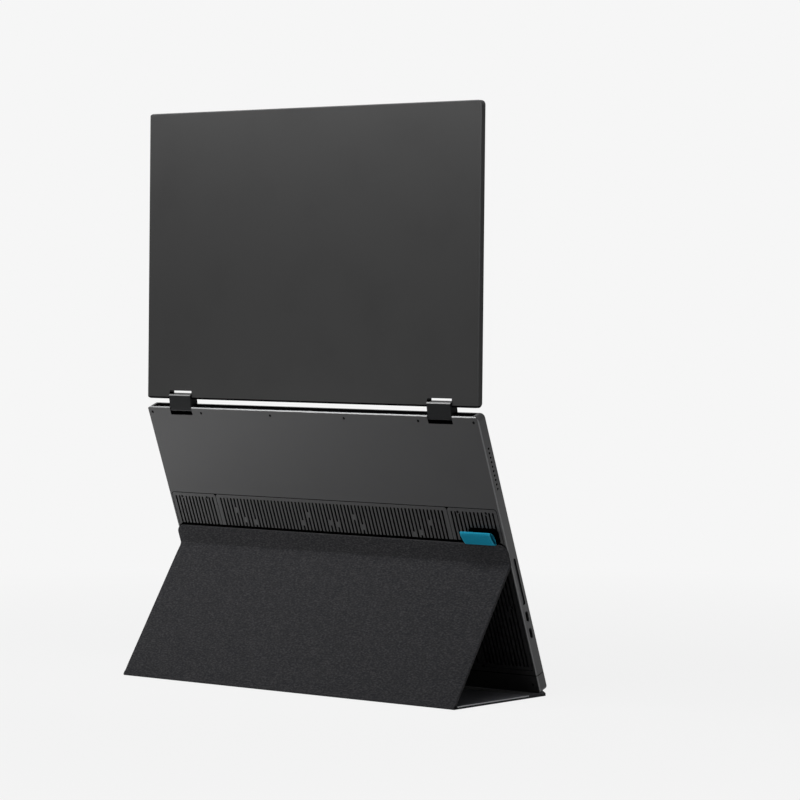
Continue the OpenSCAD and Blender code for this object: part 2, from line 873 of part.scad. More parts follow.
module lower_bracket_left() { lower_bracket(-1); }
module lower_bracket_right() { lower_bracket(1); }
module lower_shaft_left() { color(steel) lower_axis(-1) hinge_shaft(); }
module lower_shaft_right() { color(steel) lower_axis(1) hinge_shaft(); }

module upper_bracket(side) {
    color(steel) upper_axis(side) mirror([0, 0, 1])
        clamp_bracket(
            lid_t / 2 - lid_wall, axis_inset - lid_rim - 0.1, lid_t / 2 - lid_wall, upper_foot);
}

module upper_bracket_left() { upper_bracket(-1); }
module upper_bracket_right() { upper_bracket(1); }
module upper_shaft_left() { color(steel) upper_axis(-1) hinge_shaft(); }
module upper_shaft_right() { color(steel) upper_axis(1) hinge_shaft(); }

// Block with a bevelled outline, two shaft bores and a passage for the wires
module hinge_block(side) {
    d = block_d / 2;
    e = block_end;
    b = block_bevel;
    h = hinge_centres;
    chamber = 6;
    color(inner_grey) in_link() mirror([side < 0 ? 1 : 0, 0, 0]) difference() {
        translate([hinge_x, 0, 0]) bar_x(block_w)
            polygon([
                [b - d, -e], [d - b, -e], [d, b - e], [d, h + e - b],
                [d - b, h + e], [b - d, h + e], [-d, h + e - b], [-d, b - e]
            ]);
        for (z = [0, h]) translate([0, 0, z]) {
            rod_x(
                hinge_x + block_w / 2 - shaft_bore_depth, hinge_x + block_w / 2 + past,
                shaft_d + 2 * shaft_clear);
            rod_x(hinge_x - block_w / 2 - past, hinge_x - 1, wire_bore_d);
        }
        box_between(
            [hinge_x - 1 - chamber, -wire_bore_d / 2, -wire_bore_d / 2],
            [hinge_x - 1, wire_bore_d / 2, h + wire_bore_d / 2]);
    }
}

module hinge_block_left() { hinge_block(-1); }
module hinge_block_right() { hinge_block(1); }

// --- screen cable: it crosses the left hinge along both axes
wire_end_x = hinge_x - 4.2;
ribbon_w = 5.6;
ribbon_t = 0.4;

module hinge_cable() {
    color(black_part) in_link() mirror([1, 0, 0])
        box_between(
            [wire_end_x + 0.2, -wire_d / 2, -wire_d / 2],
            [wire_end_x + 2.2, wire_d / 2, hinge_centres + wire_d / 2]);
}

module housing_cable() {
    z = base_len - axis_inset;
    color(black_part) in_housing() mirror([1, 0, 0]) {
        translate([0, -base_t / 2, z]) rod_x(cable_x - ribbon_w / 2, wire_end_x, wire_d);
        box_between(
            [cable_x - ribbon_w, chassis_y, z - 6],
            [cable_x - 0.2, -base_t / 2 + wire_d / 2, z + axis_inset - side_wall - 0.1]);
        box_between(
            [cable_x - ribbon_w, chassis_y, main_board_s1 - 6],
            [cable_x - 0.2, chassis_y + ribbon_t, z - 6]);
    }
}

module screen_cable() {
    y = -lid_t / 2;
    color(black_part) in_lid() mirror([1, 0, 0]) {
        translate([0, y, axis_inset]) rod_x(cable_x - ribbon_w / 2, wire_end_x, wire_d);
        box_between(
            [cable_x - ribbon_w, y - wire_d / 2, lid_rim + 0.1],
            [cable_x - 0.2, -lid_wall, axis_inset + 3]);
        box_between(
            [cable_x - ribbon_w, -lid_wall - ribbon_t, axis_inset + 3],
            [cable_x - 0.2, -lid_wall, timing_s0]);
    }
}

// --- screen panel
lid_inner_x = panel_w / 2 - lid_rim;
lcd_y = -lid_t + bezel_t;
light_y = lcd_y + lcd_t;
timing_s0 = 7.6;
timing_s1 = 14.6;

module lid_back_cover() {
    color(housing_grey) in_lid() difference() {
        panel_blank(lid_len, lid_t);
        difference() {
            box_between(
                [-lid_inner_x, -lid_t - past, lid_rim],
                [lid_inner_x, -lid_wall, lid_len - lid_rim]);
            mirror([0, 0, 1]) hinge_notches(lid_t, notch_wall);
        }
        mirror([0, 0, 1]) hinge_notches(lid_t, 0);
        shaft_holes(-lid_t / 2, axis_inset);
    }
}

module screen_bezel() {
    w = lid_inner_x - seam;
    color(black_part) in_lid() difference() {
        box_between([-w, -lid_t, lid_rim + seam], [w, lcd_y, lid_len - lid_rim - seam]);
        box_between(
            [-picture_w / 2, -lid_t - past, chin_h], [picture_w / 2, 0, chin_h + picture_h]);
        mirror([0, 0, 1]) hinge_notches(lid_t, notch_wall + seam);
    }
}

module screen_layer(y0, y1, border) {
    box_between(
        [-picture_w / 2 - border, y0, chin_h - border],
        [picture_w / 2 + border, y1, chin_h + picture_h + border]);
}

module lcd_panel() {
    color("#0b0c0e") in_lid() screen_layer(lcd_y, light_y, lcd_border);
}

module backlight() {
    color("#d8dadc") in_lid() screen_layer(light_y, -lid_wall, lcd_border);
}

module timing_board() {
    w = panel_w - 2 * (panel_w / 2 - cable_x) - 2;
    color(board_green) in_lid()
        box_between([-w / 2, -lid_wall - 0.8, timing_s0], [w / 2, -lid_wall, timing_s1]);
}

module screen_bumpers() {
    len = 24;
    w = 3;
    color(black_part) in_lid() translate([0, -lid_t, 0]) {
        for (side = [-1, 1]) {
            translate([side * (picture_w / 2 - len), 0, chin_h + picture_h + w / 2 + 0.4])
                slab(bumper_h) rotate(90) stadium(len, w);
            translate([side * (cable_x - len), 0, chin_h / 2])
                slab(bumper_h) rotate(90) stadium(len, w);
        }
    }
}

sheet_underside();
sheet_board();
sheet_lining();
magnet_band();
hold_magnets();
floor_fold();
flap_fabric();
flap_board();
flap_lining();
mount_strip();
upper_fold();
pull_tab();
housing_back_cover();
housing_front_cover();
bottom_edge_cap();
vent_grille_left();
vent_grille_centre();
vent_grille_right();
vent_mesh();
back_screws();
chassis_plate();
main_board();
board_shields();
speaker_left();
speaker_right();
usb_socket_upper();
usb_socket_lower();
socket_tongues();
key_board();
key_switches();
key_up();
key_select();
key_down();
lower_bracket_left();
lower_bracket_right();
lower_shaft_left();
lower_shaft_right();
housing_cable();
hinge_block_left();
hinge_block_right();
hinge_cable();
lid_back_cover();
screen_bezel();
lcd_panel();
backlight();
timing_board();
screen_bumpers();
upper_bracket_left();
upper_bracket_right();
upper_shaft_left();
upper_shaft_right();
screen_cable();
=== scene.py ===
# Portable monitor, propped on its folded cover and seen from behind. Metres,
# +Z up, the rear of the object towards +Y.
import json
import math

import bmesh
import bpy
from mathutils import Matrix, Vector, noise


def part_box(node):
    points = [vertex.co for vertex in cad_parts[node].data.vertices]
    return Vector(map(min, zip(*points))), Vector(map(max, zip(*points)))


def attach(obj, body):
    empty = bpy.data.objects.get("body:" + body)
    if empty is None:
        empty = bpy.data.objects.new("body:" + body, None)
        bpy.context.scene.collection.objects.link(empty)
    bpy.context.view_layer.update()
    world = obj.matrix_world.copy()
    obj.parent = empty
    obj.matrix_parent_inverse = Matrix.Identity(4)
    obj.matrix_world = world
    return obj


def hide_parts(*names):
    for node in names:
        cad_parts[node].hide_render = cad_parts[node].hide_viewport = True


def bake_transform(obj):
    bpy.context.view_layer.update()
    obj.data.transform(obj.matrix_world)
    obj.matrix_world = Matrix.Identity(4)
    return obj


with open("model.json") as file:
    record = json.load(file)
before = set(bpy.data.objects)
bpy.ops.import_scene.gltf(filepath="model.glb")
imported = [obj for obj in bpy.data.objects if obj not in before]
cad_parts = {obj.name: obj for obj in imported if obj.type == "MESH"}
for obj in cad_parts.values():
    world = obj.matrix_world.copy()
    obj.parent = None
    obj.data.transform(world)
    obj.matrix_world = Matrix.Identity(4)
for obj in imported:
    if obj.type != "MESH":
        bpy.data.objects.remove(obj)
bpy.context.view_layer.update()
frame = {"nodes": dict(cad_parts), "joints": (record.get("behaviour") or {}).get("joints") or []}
bpy.ops.object.select_all(action="DESELECT")
mm = 0.001

# --- Camera: a long lens at desk height, behind the monitor and off to its
# keyed side, so that the rear faces and one edge show.
camera_place = Vector((-1.77405, 2.09709, 0.32726))
camera_target = Vector((-0.051344, 0.02416, 0.234389))
camera_roll = math.radians(0.086)
bpy.ops.object.camera_add(location=camera_place)
camera = bpy.context.object
camera.rotation_euler = (
    (camera_target - camera_place).to_track_quat("-Z", "Y").to_matrix()
    @ Matrix.Rotation(camera_roll, 3, "Z")
).to_euler()
camera.data.sensor_width = 36
camera.data.lens = 149.14
camera.data.clip_start, camera.data.clip_end = 0.05, 80
scene = bpy.context.scene
scene.camera = camera
scene.view_settings.view_transform = "Standard"


# --- Studio: a pale matt table in front of a pale wall, under five softboxes:
# two overhead, one low beside the rear, one high behind and one at the front
# edge. The table keeps a faint shadow near the object.
def linear(code):
    """Linear RGBA of an sRGB hex colour."""
    parts = [int(code[i : i + 2], 16) / 255 for i in (1, 3, 5)]
    return (
        *[c / 12.92 if c <= 0.04045 else ((c + 0.055) / 1.055) ** 2.4 for c in parts],
        1.0,
    )


def add_node(tree, kind, inputs=None, **settings):
    """A node with its settings, and its inputs linked or set."""
    made = tree.nodes.new(kind)
    for name, value in settings.items():
        setattr(made, name, value)
    for name, value in (inputs or {}).items():
        if isinstance(value, bpy.types.NodeSocket):
            tree.links.new(value, made.inputs[name])
        else:
            made.inputs[name].default_value = value
    return made


def seen_by_camera(tree):
    """1 on camera, glossy and transmission rays, 0 on the rays that light things."""
    path = add_node(tree, "ShaderNodeLightPath")
    first = add_node(
        tree,
        "ShaderNodeMath",
        {0: path.outputs["Is Camera Ray"], 1: path.outputs["Is Glossy Ray"]},
        operation="ADD",
    )
    return add_node(
        tree,
        "ShaderNodeMath",
        {0: first.outputs[0], 1: path.outputs["Is Transmission Ray"]},
        operation="ADD",
        use_clamp=True,
    ).outputs[0]


pale = linear("#f6f6f6")
table_colour = linear("#e4e4e4")
table_shadow = 0.06
world_fill = 0.03

world = scene.world or bpy.data.worlds.new("studio")
scene.world = world
world.use_nodes = True
tree = world.node_tree
tree.nodes.clear()
fill = add_node(tree, "ShaderNodeBackground", {"Color": pale, "Strength": world_fill})
wall = add_node(tree, "ShaderNodeBackground", {"Color": pale, "Strength": 1.0})
mixed = add_node(
    tree,
    "ShaderNodeMixShader",
    {0: seen_by_camera(tree), 1: fill.outputs[0], 2: wall.outputs[0]},
)
add_node(tree, "ShaderNodeOutputWorld", {"Surface": mixed.outputs[0]})

bpy.ops.mesh.primitive_plane_add(size=60, location=(0, 0, -0.3 * mm))
table = bpy.context.object
table.name = "table_top"
bpy.ops.object.transform_apply(location=True, rotation=True, scale=True)
laminate = bpy.data.materials.new("matt_table_laminate")
laminate.use_nodes = True
tree = laminate.node_tree
tree.nodes.clear()
coords = add_node(tree, "ShaderNodeTexCoord")
away = add_node(
    tree, "ShaderNodeVectorMath", {0: coords.outputs["Object"]}, operation="LENGTH"
)
shown = add_node(
    tree,
    "ShaderNodeMapRange",
    {"Value": away.outputs["Value"], "From Min": 0.35, "From Max": 1.1,
     "To Min": 1 - table_shadow, "To Max": 1.0},
)
glow = add_node(
    tree,
    "ShaderNodeMath",
    {0: seen_by_camera(tree), 1: shown.outputs[0]},
    operation="MULTIPLY",
)
matt = add_node(tree, "ShaderNodeBsdfDiffuse", {"Color": table_colour})
lit = add_node(tree, "ShaderNodeEmission", {"Color": pale, "Strength": 1.0})
mixed = add_node(
    tree,
    "ShaderNodeMixShader",
    {0: glow.outputs[0], 1: matt.outputs[0], 2: lit.outputs[0]},
)
add_node(tree, "ShaderNodeOutputMaterial", {"Surface": mixed.outputs[0]})
table.data.materials.append(laminate)


def add_softbox(name, place, target, size, power, spread=180):
    """A wide area lamp that faces its target and stays out of the picture."""
    bpy.ops.object.light_add(type="AREA", location=place)
    lamp = bpy.context.object
    lamp.name = name
    lamp.rotation_euler = (
        (Vector(target) - Vector(place)).to_track_quat("-Z", "Y").to_euler()
    )
    lamp.data.shape = "RECTANGLE"
    lamp.data.size, lamp.data.size_y = size
    lamp.data.spread = math.radians(spread)
    lamp.data.energy = power
    lamp.visible_camera = False


add_softbox("softbox_above", (0, 0.23, 0.60), (0, 0.08, 0.45), (0.8, 0.08), 1.5)
add_softbox(
    "softbox_low", (0.43, 0.28, 0.015), (0, 0.06, 0.07), (0.44, 0.26), 0.31, 60
)
add_softbox("softbox_key", (0.9, 0.75, 1.02), (0, 0.08, 0.23), (0.6, 0.25), 4)
add_softbox("softbox_top", (-0.2, 0.8, 1.4), (0, 0.08, 0.1), (0.5, 0.5), 6)
add_softbox(
    "softbox_edge", (-0.65, -0.35, 0.06), (-0.178, 0.04, 0.1), (0.3, 0.1), 0.045, 60
)


# --- Cover, outer cloth of strip and flap: woven polyester melange laminated
# over stiff board. One piece of cloth runs over the strip bonded to the
# housing, the soft upper fold and the flap.
def leaned_frame(point, local, lean):
    """Frame leaned by an angle about X in which a local point lies at a given one."""
    turned = Matrix.Rotation(-lean, 4, "X")
    return Matrix.Translation(Vector(point) - turned @ Vector(local)) @ turned


def select_only(piece):
    """Makes a piece the one selected, active object."""
    bpy.ops.object.select_all(action="DESELECT")
    piece.select_set(True)
    bpy.context.view_layer.objects.active = piece


def place_in(piece, place):
    """Leans a piece into its frame and leaves its object at the origin."""
    select_only(piece)
    bpy.ops.object.transform_apply(location=True, rotation=True, scale=True)
    piece.matrix_world = place
    bpy.ops.object.transform_apply(location=True, rotation=True, scale=True)


def finish_modifier(piece, kind, **settings):
    """Adds a modifier with its settings and applies it."""
    select_only(piece)
    made = piece.modifiers.new(kind.lower(), kind)
    for name, value in settings.items():
        setattr(made, name, value)
    bpy.ops.object.modifier_apply(modifier=made.name)


def shade(piece, degrees):
    """Smooth shading that stays sharp at edges above an angle."""
    select_only(piece)
    bpy.ops.object.shade_smooth_by_angle(angle=math.radians(degrees))


def new_material(name, colour, roughness, **sockets):
    """A node material: itself, its tree and its principled shader."""
    made = bpy.data.materials.new(name)
    made.use_nodes = True
    shader = made.node_tree.nodes["Principled BSDF"]
    shader.inputs["Base Color"].default_value = linear(colour)
    shader.inputs["Roughness"].default_value = roughness
    for socket, value in sockets.items():
        shader.inputs[socket.replace("_", " ")].default_value = value
    return made, made.node_tree, shader


def lay_cloth(name, section, columns, shape=None):
    """A cloth grid whose rows follow a section's (y, z) points and whose columns stand
    at X values. shape(x, run) gives a point's X and its lift along the normal."""
    rows, count = len(section), len(columns)
    bpy.ops.mesh.primitive_grid_add(
        x_subdivisions=count - 1, y_subdivisions=rows - 1, size=1
    )
    cloth = bpy.context.object
    cloth.name = cloth.data.name = name
    runs = [0.0]
    for a, b in zip(section, section[1:]):
        runs.append(runs[-1] + math.dist(a, b))
    spots = []
    for vertex in cloth.data.vertices:
        x = columns[round((vertex.co.x + 0.5) * (count - 1))]
        row = round((vertex.co.y + 0.5) * (rows - 1))
        x, lift = shape(x, runs[row]) if shape else (x, 0.0)
        before, after = section[max(row - 1, 0)], section[min(row + 1, rows - 1)]
        dy, dz = after[0] - before[0], after[1] - before[1]
        lift /= math.hypot(dy, dz)
        vertex.co = (x, section[row][0] - dz * lift, section[row][1] + dy * lift)
        spots.append((x, runs[row]))
    uv = cloth.data.uv_layers.active
    for loop in cloth.data.loops:
        uv.data[loop.index].uv = spots[loop.vertex_index]
    return cloth


def soften_rims(piece, width, stays_sharp=None):
    """Rounds the cut edges of a solid cloth, apart from those that stay sharp."""
    mesh = bmesh.new()
    mesh.from_mesh(piece.data)
    weight = mesh.edges.layers.float.new("bevel_weight_edge")
    for edge in mesh.edges:
        middle = (edge.verts[0].co + edge.verts[1].co) / 2
        if edge.calc_face_angle(0) > 1.0 and not (stays_sharp and stays_sharp(middle)):
            edge[weight] = 1.0
    mesh.to_mesh(piece.data)
    mesh.free()
    finish_modifier(piece, "BEVEL", limit_method="WEIGHT", width=width, segments=3)


def spaced(start, stop, step):
    """Evenly spaced values from start to stop, both included."""
    count = max(1, round(abs(stop - start) / step))
    return [start + (stop - start) * i / count for i in range(count + 1)]


def rise(value, low, high):
    """0 below low, 1 above high and a smooth rise between them."""
    share = max(0.0, min(1.0, (value - low) / (high - low)))
    return share * share * (3 - 2 * share)


# Its threads of 0.3 mm are drawn 0.9 mm apart so that they show. Dark and bluish
# yarns give it a soft speckle, longer along the weft, and almost no shine.
thread_pitch = 0.9 * mm
wave_unit = math.pi / 10  # spacing of a wave texture's bands at scale 1
melange_grain = 0.95 * mm
dye_patch = 7 * mm
cover_cloth, tree, shader = new_material(
    "woven_polyester_melange", "#232427", 0.92, Specular_IOR_Level=0.2,
    Sheen_Weight=0.06, Sheen_Roughness=0.5,
)
coords = add_node(tree, "ShaderNodeTexCoord")
stretched = add_node(
    tree,
    "ShaderNodeMapping",
    {"Vector": coords.outputs["Object"], "Scale": (0.45, 1.0, 1.0)},
)
specks = add_node(
    tree,
    "ShaderNodeTexNoise",
    {"Vector": stretched.outputs[0], "Scale": 1 / melange_grain, "Detail": 2.0},
)
tones = add_node(tree, "ShaderNodeValToRGB", {"Fac": specks.outputs["Fac"]})
ramp = tones.color_ramp
ramp.elements[0].position, ramp.elements[0].color = 0.34, linear("#15161b")
ramp.elements[1].position, ramp.elements[1].color = 0.68, linear("#383739")
ramp.elements.new(0.50).color = linear("#242426")
patches = add_node(
    tree,
    "ShaderNodeTexNoise",
    {"Vector": coords.outputs["Object"], "Scale": 1 / dye_patch, "Detail": 2.0},
)
soft = add_node(
    tree,
    "ShaderNodeMapRange",
    {"Value": patches.outputs["Fac"], "To Min": 0.8, "To Max": 1.2},
)
tinted = add_node(
    tree,
    "ShaderNodeVectorMath",
    {0: tones.outputs["Color"], 1: soft.outputs[0]},
    operation="MULTIPLY",
)
tree.links.new(tinted.outputs[0], shader.inputs["Base Color"])
warp = add_node(
    tree,
    "ShaderNodeTexWave",
    {"Vector": coords.outputs["UV"], "Scale": wave_unit / thread_pitch},
    bands_direction="X",
)
weft = add_node(
    tree,
    "ShaderNodeTexWave",
    {"Vector": coords.outputs["UV"], "Scale": wave_unit / thread_pitch},
    bands_direction="Y",
)
weave = add_node(
    tree,
    "ShaderNodeMath",
    {0: warp.outputs["Fac"], 1: weft.outputs["Fac"]},
    operation="MULTIPLY",
)
height = add_node(
    tree,
    "ShaderNodeMath",
    {0: weave.outputs[0], 1: specks.outputs["Fac"]},
    operation="ADD",
)
bump = add_node(
    tree,
    "ShaderNodeBump",
    {"Height": height.outputs[0], "Strength": 0.35, "Distance": 0.12 * mm},
)
tree.links.new(bump.outputs[0], shader.inputs["Normal"])

joints = {joint["name"]: joint for joint in frame["joints"]}
upper_fold = Vector(joints["stand_fold_hinge"]["pos_m"])
floor_fold = Vector(joints["floor_fold_hinge"]["pos_m"])
cover_t = 2.1 * mm  # the flap's board between its two cloths
fold_s = 112.6 * mm  # height of the upper fold along the housing
base_lean = math.radians(20.3)
in_housing = leaned_frame(upper_fold, (0, cover_t / 2, fold_s), base_lean)
flap_line = upper_fold - floor_fold
flap_len = flap_line.length
flap_lean = math.atan2(flap_line.y, flap_line.z)
in_flap = leaned_frame(floor_fold, (0, 0, 0), flap_lean)
side_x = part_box("housing_back_cover")[1].x
housing_up = in_housing.to_3x3() @ Vector((0, 0, 1))
flap_up = flap_line.normalized()

strip_h = 16.9 * mm
strip_r = 7 * mm
cloth_wall = 2.0 * mm
valley_r = 2.6 * mm
flap_seam = 2.2 * mm
rim_r = 0.7 * mm
fold_reach = 3 * mm  # how far a fold's give runs into the panel on each side
side_steps = [e * mm for e in (0, 1.2, 2.6, 4.0, 5.4, 7.2, 9.5, 12, 15)]
cover_columns = (
    [-side_x + e for e in side_steps]
    + spaced(-side_x + 19 * mm, side_x - 19 * mm, 4 * mm)
    + [side_x - e for e in reversed(side_steps)]
)

# section in the housing's frame: down the strip, round the valley, down the flap
turn = housing_up.angle(flap_up)
reach = (cover_t / 2 + valley_r) * math.tan(turn / 2)
down, out = (math.sin(turn), -math.cos(turn)), (math.cos(turn), math.sin(turn))
corner_rows = [strip_r * (1 - math.cos(math.radians(a))) for a in range(0, 91, 15)]
strip_section = [(cover_t, fold_s + strip_h - e) for e in corner_rows]
strip_section += [
    (cover_t, fold_s + h) for h in spaced(strip_h - strip_r - 1.5 * mm, reach, 1.6 * mm)
]
for i in range(1, 8):
    angle = turn * i / 8
    strip_section.append(
        (cover_t + valley_r * (1 - math.cos(angle)),
         fold_s + reach - valley_r * math.sin(angle))
    )
flap_runs = (
    spaced(reach, 12 * mm, 1.5 * mm)
    + spaced(12 * mm, flap_len - 12 * mm, 4 * mm)[1:]
    + spaced(flap_len - 12 * mm, flap_len - flap_seam, 1.5 * mm)[1:]
)
for t in flap_runs:
    strip_section.append(
        (cover_t / 2 + down[0] * t + out[0] * cover_t / 2,
         fold_s + down[1] * t + out[1] * cover_t / 2)
    )
fold_run = strip_h - reach + turn * valley_r
cloth_end = fold_run + flap_len - flap_seam - reach
side_sink, fold_sink, end_sink, ripple = 0.22 * mm, 0.25 * mm, 0.2 * mm, 0.12 * mm


def strip_shape(x, run):
    """Rounded upper corners; the cloth sinks past the boards and ripples a little."""
    if run < strip_r:
        edge = side_x - strip_r + math.sqrt(strip_r**2 - (strip_r - run) ** 2)
        inner = side_x - 15 * mm
        if abs(x) > inner:
            part = (abs(x) - inner) / (side_x - inner)
            x = math.copysign(inner + (edge - inner) * part, x)
    away = side_x - abs(x)
    sink = side_sink * (1 - rise(away, 1.5 * mm, 5.5 * mm))
    past = run - fold_run
    sink += fold_sink * (1 - rise(past, 2 * mm, 7 * mm)) * rise(past, -1 * mm, 2 * mm)
    sink += end_sink * (1 - rise(cloth_end - run, 2 * mm, 7 * mm))
    wave = noise.noise(Vector((x / (34 * mm), run / (26 * mm), 3.7)))
    return x, ripple * wave - sink


strip_and_flap = lay_cloth(
    "cover_strip_and_flap", strip_section, cover_columns, strip_shape
)
finish_modifier(
    strip_and_flap, "SOLIDIFY", thickness=cloth_wall, offset=-1, use_even_offset=True
)
low_edge = strip_section[-1][1] + 2.4 * mm
soften_rims(strip_and_flap, rim_r, lambda spot: spot.z < low_edge)
place_in(strip_and_flap, in_housing)
shade(strip_and_flap, 50)
strip_and_flap.data.materials.append(cover_cloth)
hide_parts("mount_strip", "upper_fold", "flap_fabric")
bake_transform(strip_and_flap)

# --- Cover, floor fold: the same cloth runs on round the flap's lower end and
# under the sheet. It has no board here, so it rolls.
roll_r = cover_t / 2
desk_gap = 0.05 * mm
under_end = floor_fold.y - fold_reach
roll_section = [
    (floor_fold.y + roll_r * flap_up.z + h * flap_up.y,
     floor_fold.z - roll_r * flap_up.y + h * flap_up.z)
    for h in (flap_seam + 0.3 * mm, 1.2 * mm)
]
start_angle = math.atan2(-flap_up.y, flap_up.z)
roll_steps = 10
for i in range(roll_steps + 1):
    angle = start_angle - (start_angle + math.pi / 2) * i / roll_steps
    r = roll_r + (floor_fold.z - desk_gap - roll_r) * i / roll_steps
    roll_section.append(
        (floor_fold.y + r * math.cos(angle), floor_fold.z + r * math.sin(angle))
    )
roll_section += [
    (y, desk_gap) for y in spaced(floor_fold.y - 1 * mm, under_end, 1 * mm)
]
fold_band = lay_cloth("floor_fold_band", roll_section, cover_columns)
finish_modifier(fold_band, "SOLIDIFY", thickness=0.7 * mm, offset=-1)
soften_rims(fold_band, 0.2 * mm, lambda spot: abs(spot.x) < side_x - 0.01 * mm)
shade(fold_band, 50)
fold_band.data.materials.append(cover_cloth)
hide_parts("floor_fold")
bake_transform(fold_band)

# --- Cover, inner face of the flap: brushed microfibre laminated to the board,
# trimmed just inside the outer cloth's edge. The brushing leaves a dull nap that
# lies in faint paler and darker strokes.
nap_grain, stroke_size = 0.6 * mm, 18 * mm
lining_cloth, tree, shader = new_material(
    "brushed_microfibre", "#565759", 0.95, Specular_IOR_Level=0.05
)
coords = add_node(tree, "ShaderNodeTexCoord")
nap = add_node(
    tree,
    "ShaderNodeTexNoise",
    {"Vector": coords.outputs["Object"], "Scale": 1 / nap_grain, "Detail": 4.0},
)
strokes = add_node(
    tree,
    "ShaderNodeTexNoise",
    {"Vector": coords.outputs["Object"], "Scale": 1 / stroke_size, "Detail": 3.0,
     "Distortion": 0.8},
)
mixed = add_node(
    tree,
    "ShaderNodeMath",
    {0: nap.outputs["Fac"], 1: strokes.outputs["Fac"]},
    operation="ADD",
)
tones = add_node(tree, "ShaderNodeValToRGB", {"Fac": mixed.outputs[0]})
ramp = tones.color_ramp
ramp.elements[0].position, ramp.elements[0].color = 0.55, linear("#4a4b4f")
ramp.elements[1].position, ramp.elements[1].color = 1.0, linear("#626367")
tree.links.new(tones.outputs["Color"], shader.inputs["Base Color"])
bump = add_node(
    tree,
    "ShaderNodeBump",
    {"Height": nap.outputs["Fac"], "Strength": 0.4, "Distance": 0.08 * mm},
)
tree.links.new(bump.outputs[0], shader.inputs["Normal"])

lining_inset = 2.5 * mm
inner_columns = [
    -side_x + lining_inset,
    *[x for x in cover_columns if abs(x) < side_x - lining_inset - 0.5 * mm],
    side_x - lining_inset,
]
face_end = flap_seam + lining_inset
face_section = [
    (-cover_t / 2, z) for z in spaced(face_end, flap_len - face_end, 4 * mm)
]
flap_face = lay_cloth("flap_inner_face", face_section, inner_columns)
finish_modifier(flap_face, "SOLIDIFY", thickness=0.35 * mm, offset=-1)
soften_rims(flap_face, 0.12 * mm)
place_in(flap_face, in_flap)
shade(flap_face, 50)
flap_face.data.materials.append(lining_cloth)
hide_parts("flap_lining")
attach(flap_face, "flap")

# --- Cover, sheet on the desk: outer cloth below, then the board, the lining
# and, under the front of the housing, a band with magnets sewn into it. The
# front corners are cut at a slant.
sheet_top = 2.4 * mm
under_top = 1.7 * mm
face_t = 0.75 * mm
sheet_front = -28 * mm
sheet_rear = under_end + 0.2 * mm
sheet_corner = 22 * mm
sheet_inner = 28 * mm  # columns nearer the middle than this stay straight
band_rear = 15.7 * mm
sheet_columns = (
    [-side_x + e for e in side_steps]
    + [-side_x + sheet_corner, -side_x + sheet_inner]
    + spaced(-side_x + 34 * mm, side_x - 34 * mm, 8 * mm)
    + [side_x - sheet_inner, side_x - sheet_corner]
    + [side_x - e for e in reversed(side_steps)]
)


def slant_corners(x, run):
    """Pulls the columns in beside the slanted front corners."""
    if run < sheet_corner:
        inner, edge = side_x - sheet_inner, side_x - sheet_corner + run
        if abs(x) > inner:
            part = (abs(x) - inner) / (side_x - inner)
            x = math.copysign(inner + (edge - inner) * part, x)
    return x, 0.0


def lay_sheet(name, y0, y1, top, thickness, rim, slant):
    """A solid layer of the desk sheet between two Y values."""
    rows = spaced(y0, y1, 4 * mm)
    if slant:
        rows = spaced(y0, y0 + sheet_corner, 2 * mm) + spaced(
            y0 + sheet_corner, y1, 4 * mm
        )[1:]
    layer = lay_cloth(
        name, [(y, top) for y in rows], sheet_columns, slant_corners if slant else None
    )
    finish_modifier(layer, "SOLIDIFY", thickness=thickness, offset=-1)
    soften_rims(layer, rim)
    shade(layer, 50)
    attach(layer, "stand_sheet")
    return layer


sheet_panel = lay_sheet(
    "sheet_outer_cloth", sheet_front, sheet_rear, under_top, 1.65 * mm, 0.45 * mm, True
)
sheet_panel.data.materials.append(cover_cloth)
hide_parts("sheet_underside")

sheet_face = lay_sheet(
    "sheet_inner_face", band_rear, sheet_rear - 1.2 * mm, sheet_top, face_t,
    0.1 * mm, False,
)


def speckle(tree, shader, grain, detail, dark, light, last=0.7):
    """Colours a material with specks of a grain size in two tones: their noise."""
    coords = add_node(tree, "ShaderNodeTexCoord")
    specks = add_node(
        tree,
        "ShaderNodeTexNoise",
        {"Vector": coords.outputs["Object"], "Scale": 1 / grain, "Detail": detail},
    )
    tones = add_node(tree, "ShaderNodeValToRGB", {"Fac": specks.outputs["Fac"]})
    first_tone, last_tone = tones.color_ramp.elements
    first_tone.position, first_tone.color = 0.3, linear(dark)
    last_tone.position, last_tone.color = last, linear(light)
    tree.links.new(tones.outputs["Color"], shader.inputs["Base Color"])
    return specks


# The lining's side faces are coloured pale, so its cut edges show as a bright line.
cut_edge, tree, shader = new_material(
    "pale_microfibre_side", "#e4e5e7", 0.95, Specular_IOR_Level=0.2
)
speckle(tree, shader, 1.2 * mm, 3.0, "#d8d9db", "#eeeff1")
sheet_face.data.materials.append(lining_cloth)
sheet_face.data.materials.append(cut_edge)
for face in sheet_face.data.polygons:
    face.material_index = int(abs(face.normal.x) > 0.3)
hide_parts("sheet_lining")

band_face = lay_sheet(
    "magnet_band_face", sheet_front, band_rear - 0.3 * mm, sheet_top, face_t,
    0.25 * mm, True,
)
band_face.data.materials.append(cover_cloth)
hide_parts("magnet_band")

# --- Cover, stiffeners: grey glass-epoxy boards, whose glass fibres show as a fine
# mottle at the open edges of the layers, and flat magnets with bright, faintly
# uneven nickel plating.
def finish_nodes(material, *names):
    """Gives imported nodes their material."""
    for name in names:
        node = frame["nodes"][name]
        if not node.material_slots:
            node.data.materials.append(material)
        for place in node.material_slots:
            place.material = material


board_stock, tree, shader = new_material("glass_epoxy_board", "#7b7f78", 0.6)
speckle(tree, shader, 0.8 * mm, 2.0, "#6b6f68", "#8b8f88")
finish_nodes(board_stock, "sheet_board", "flap_board")


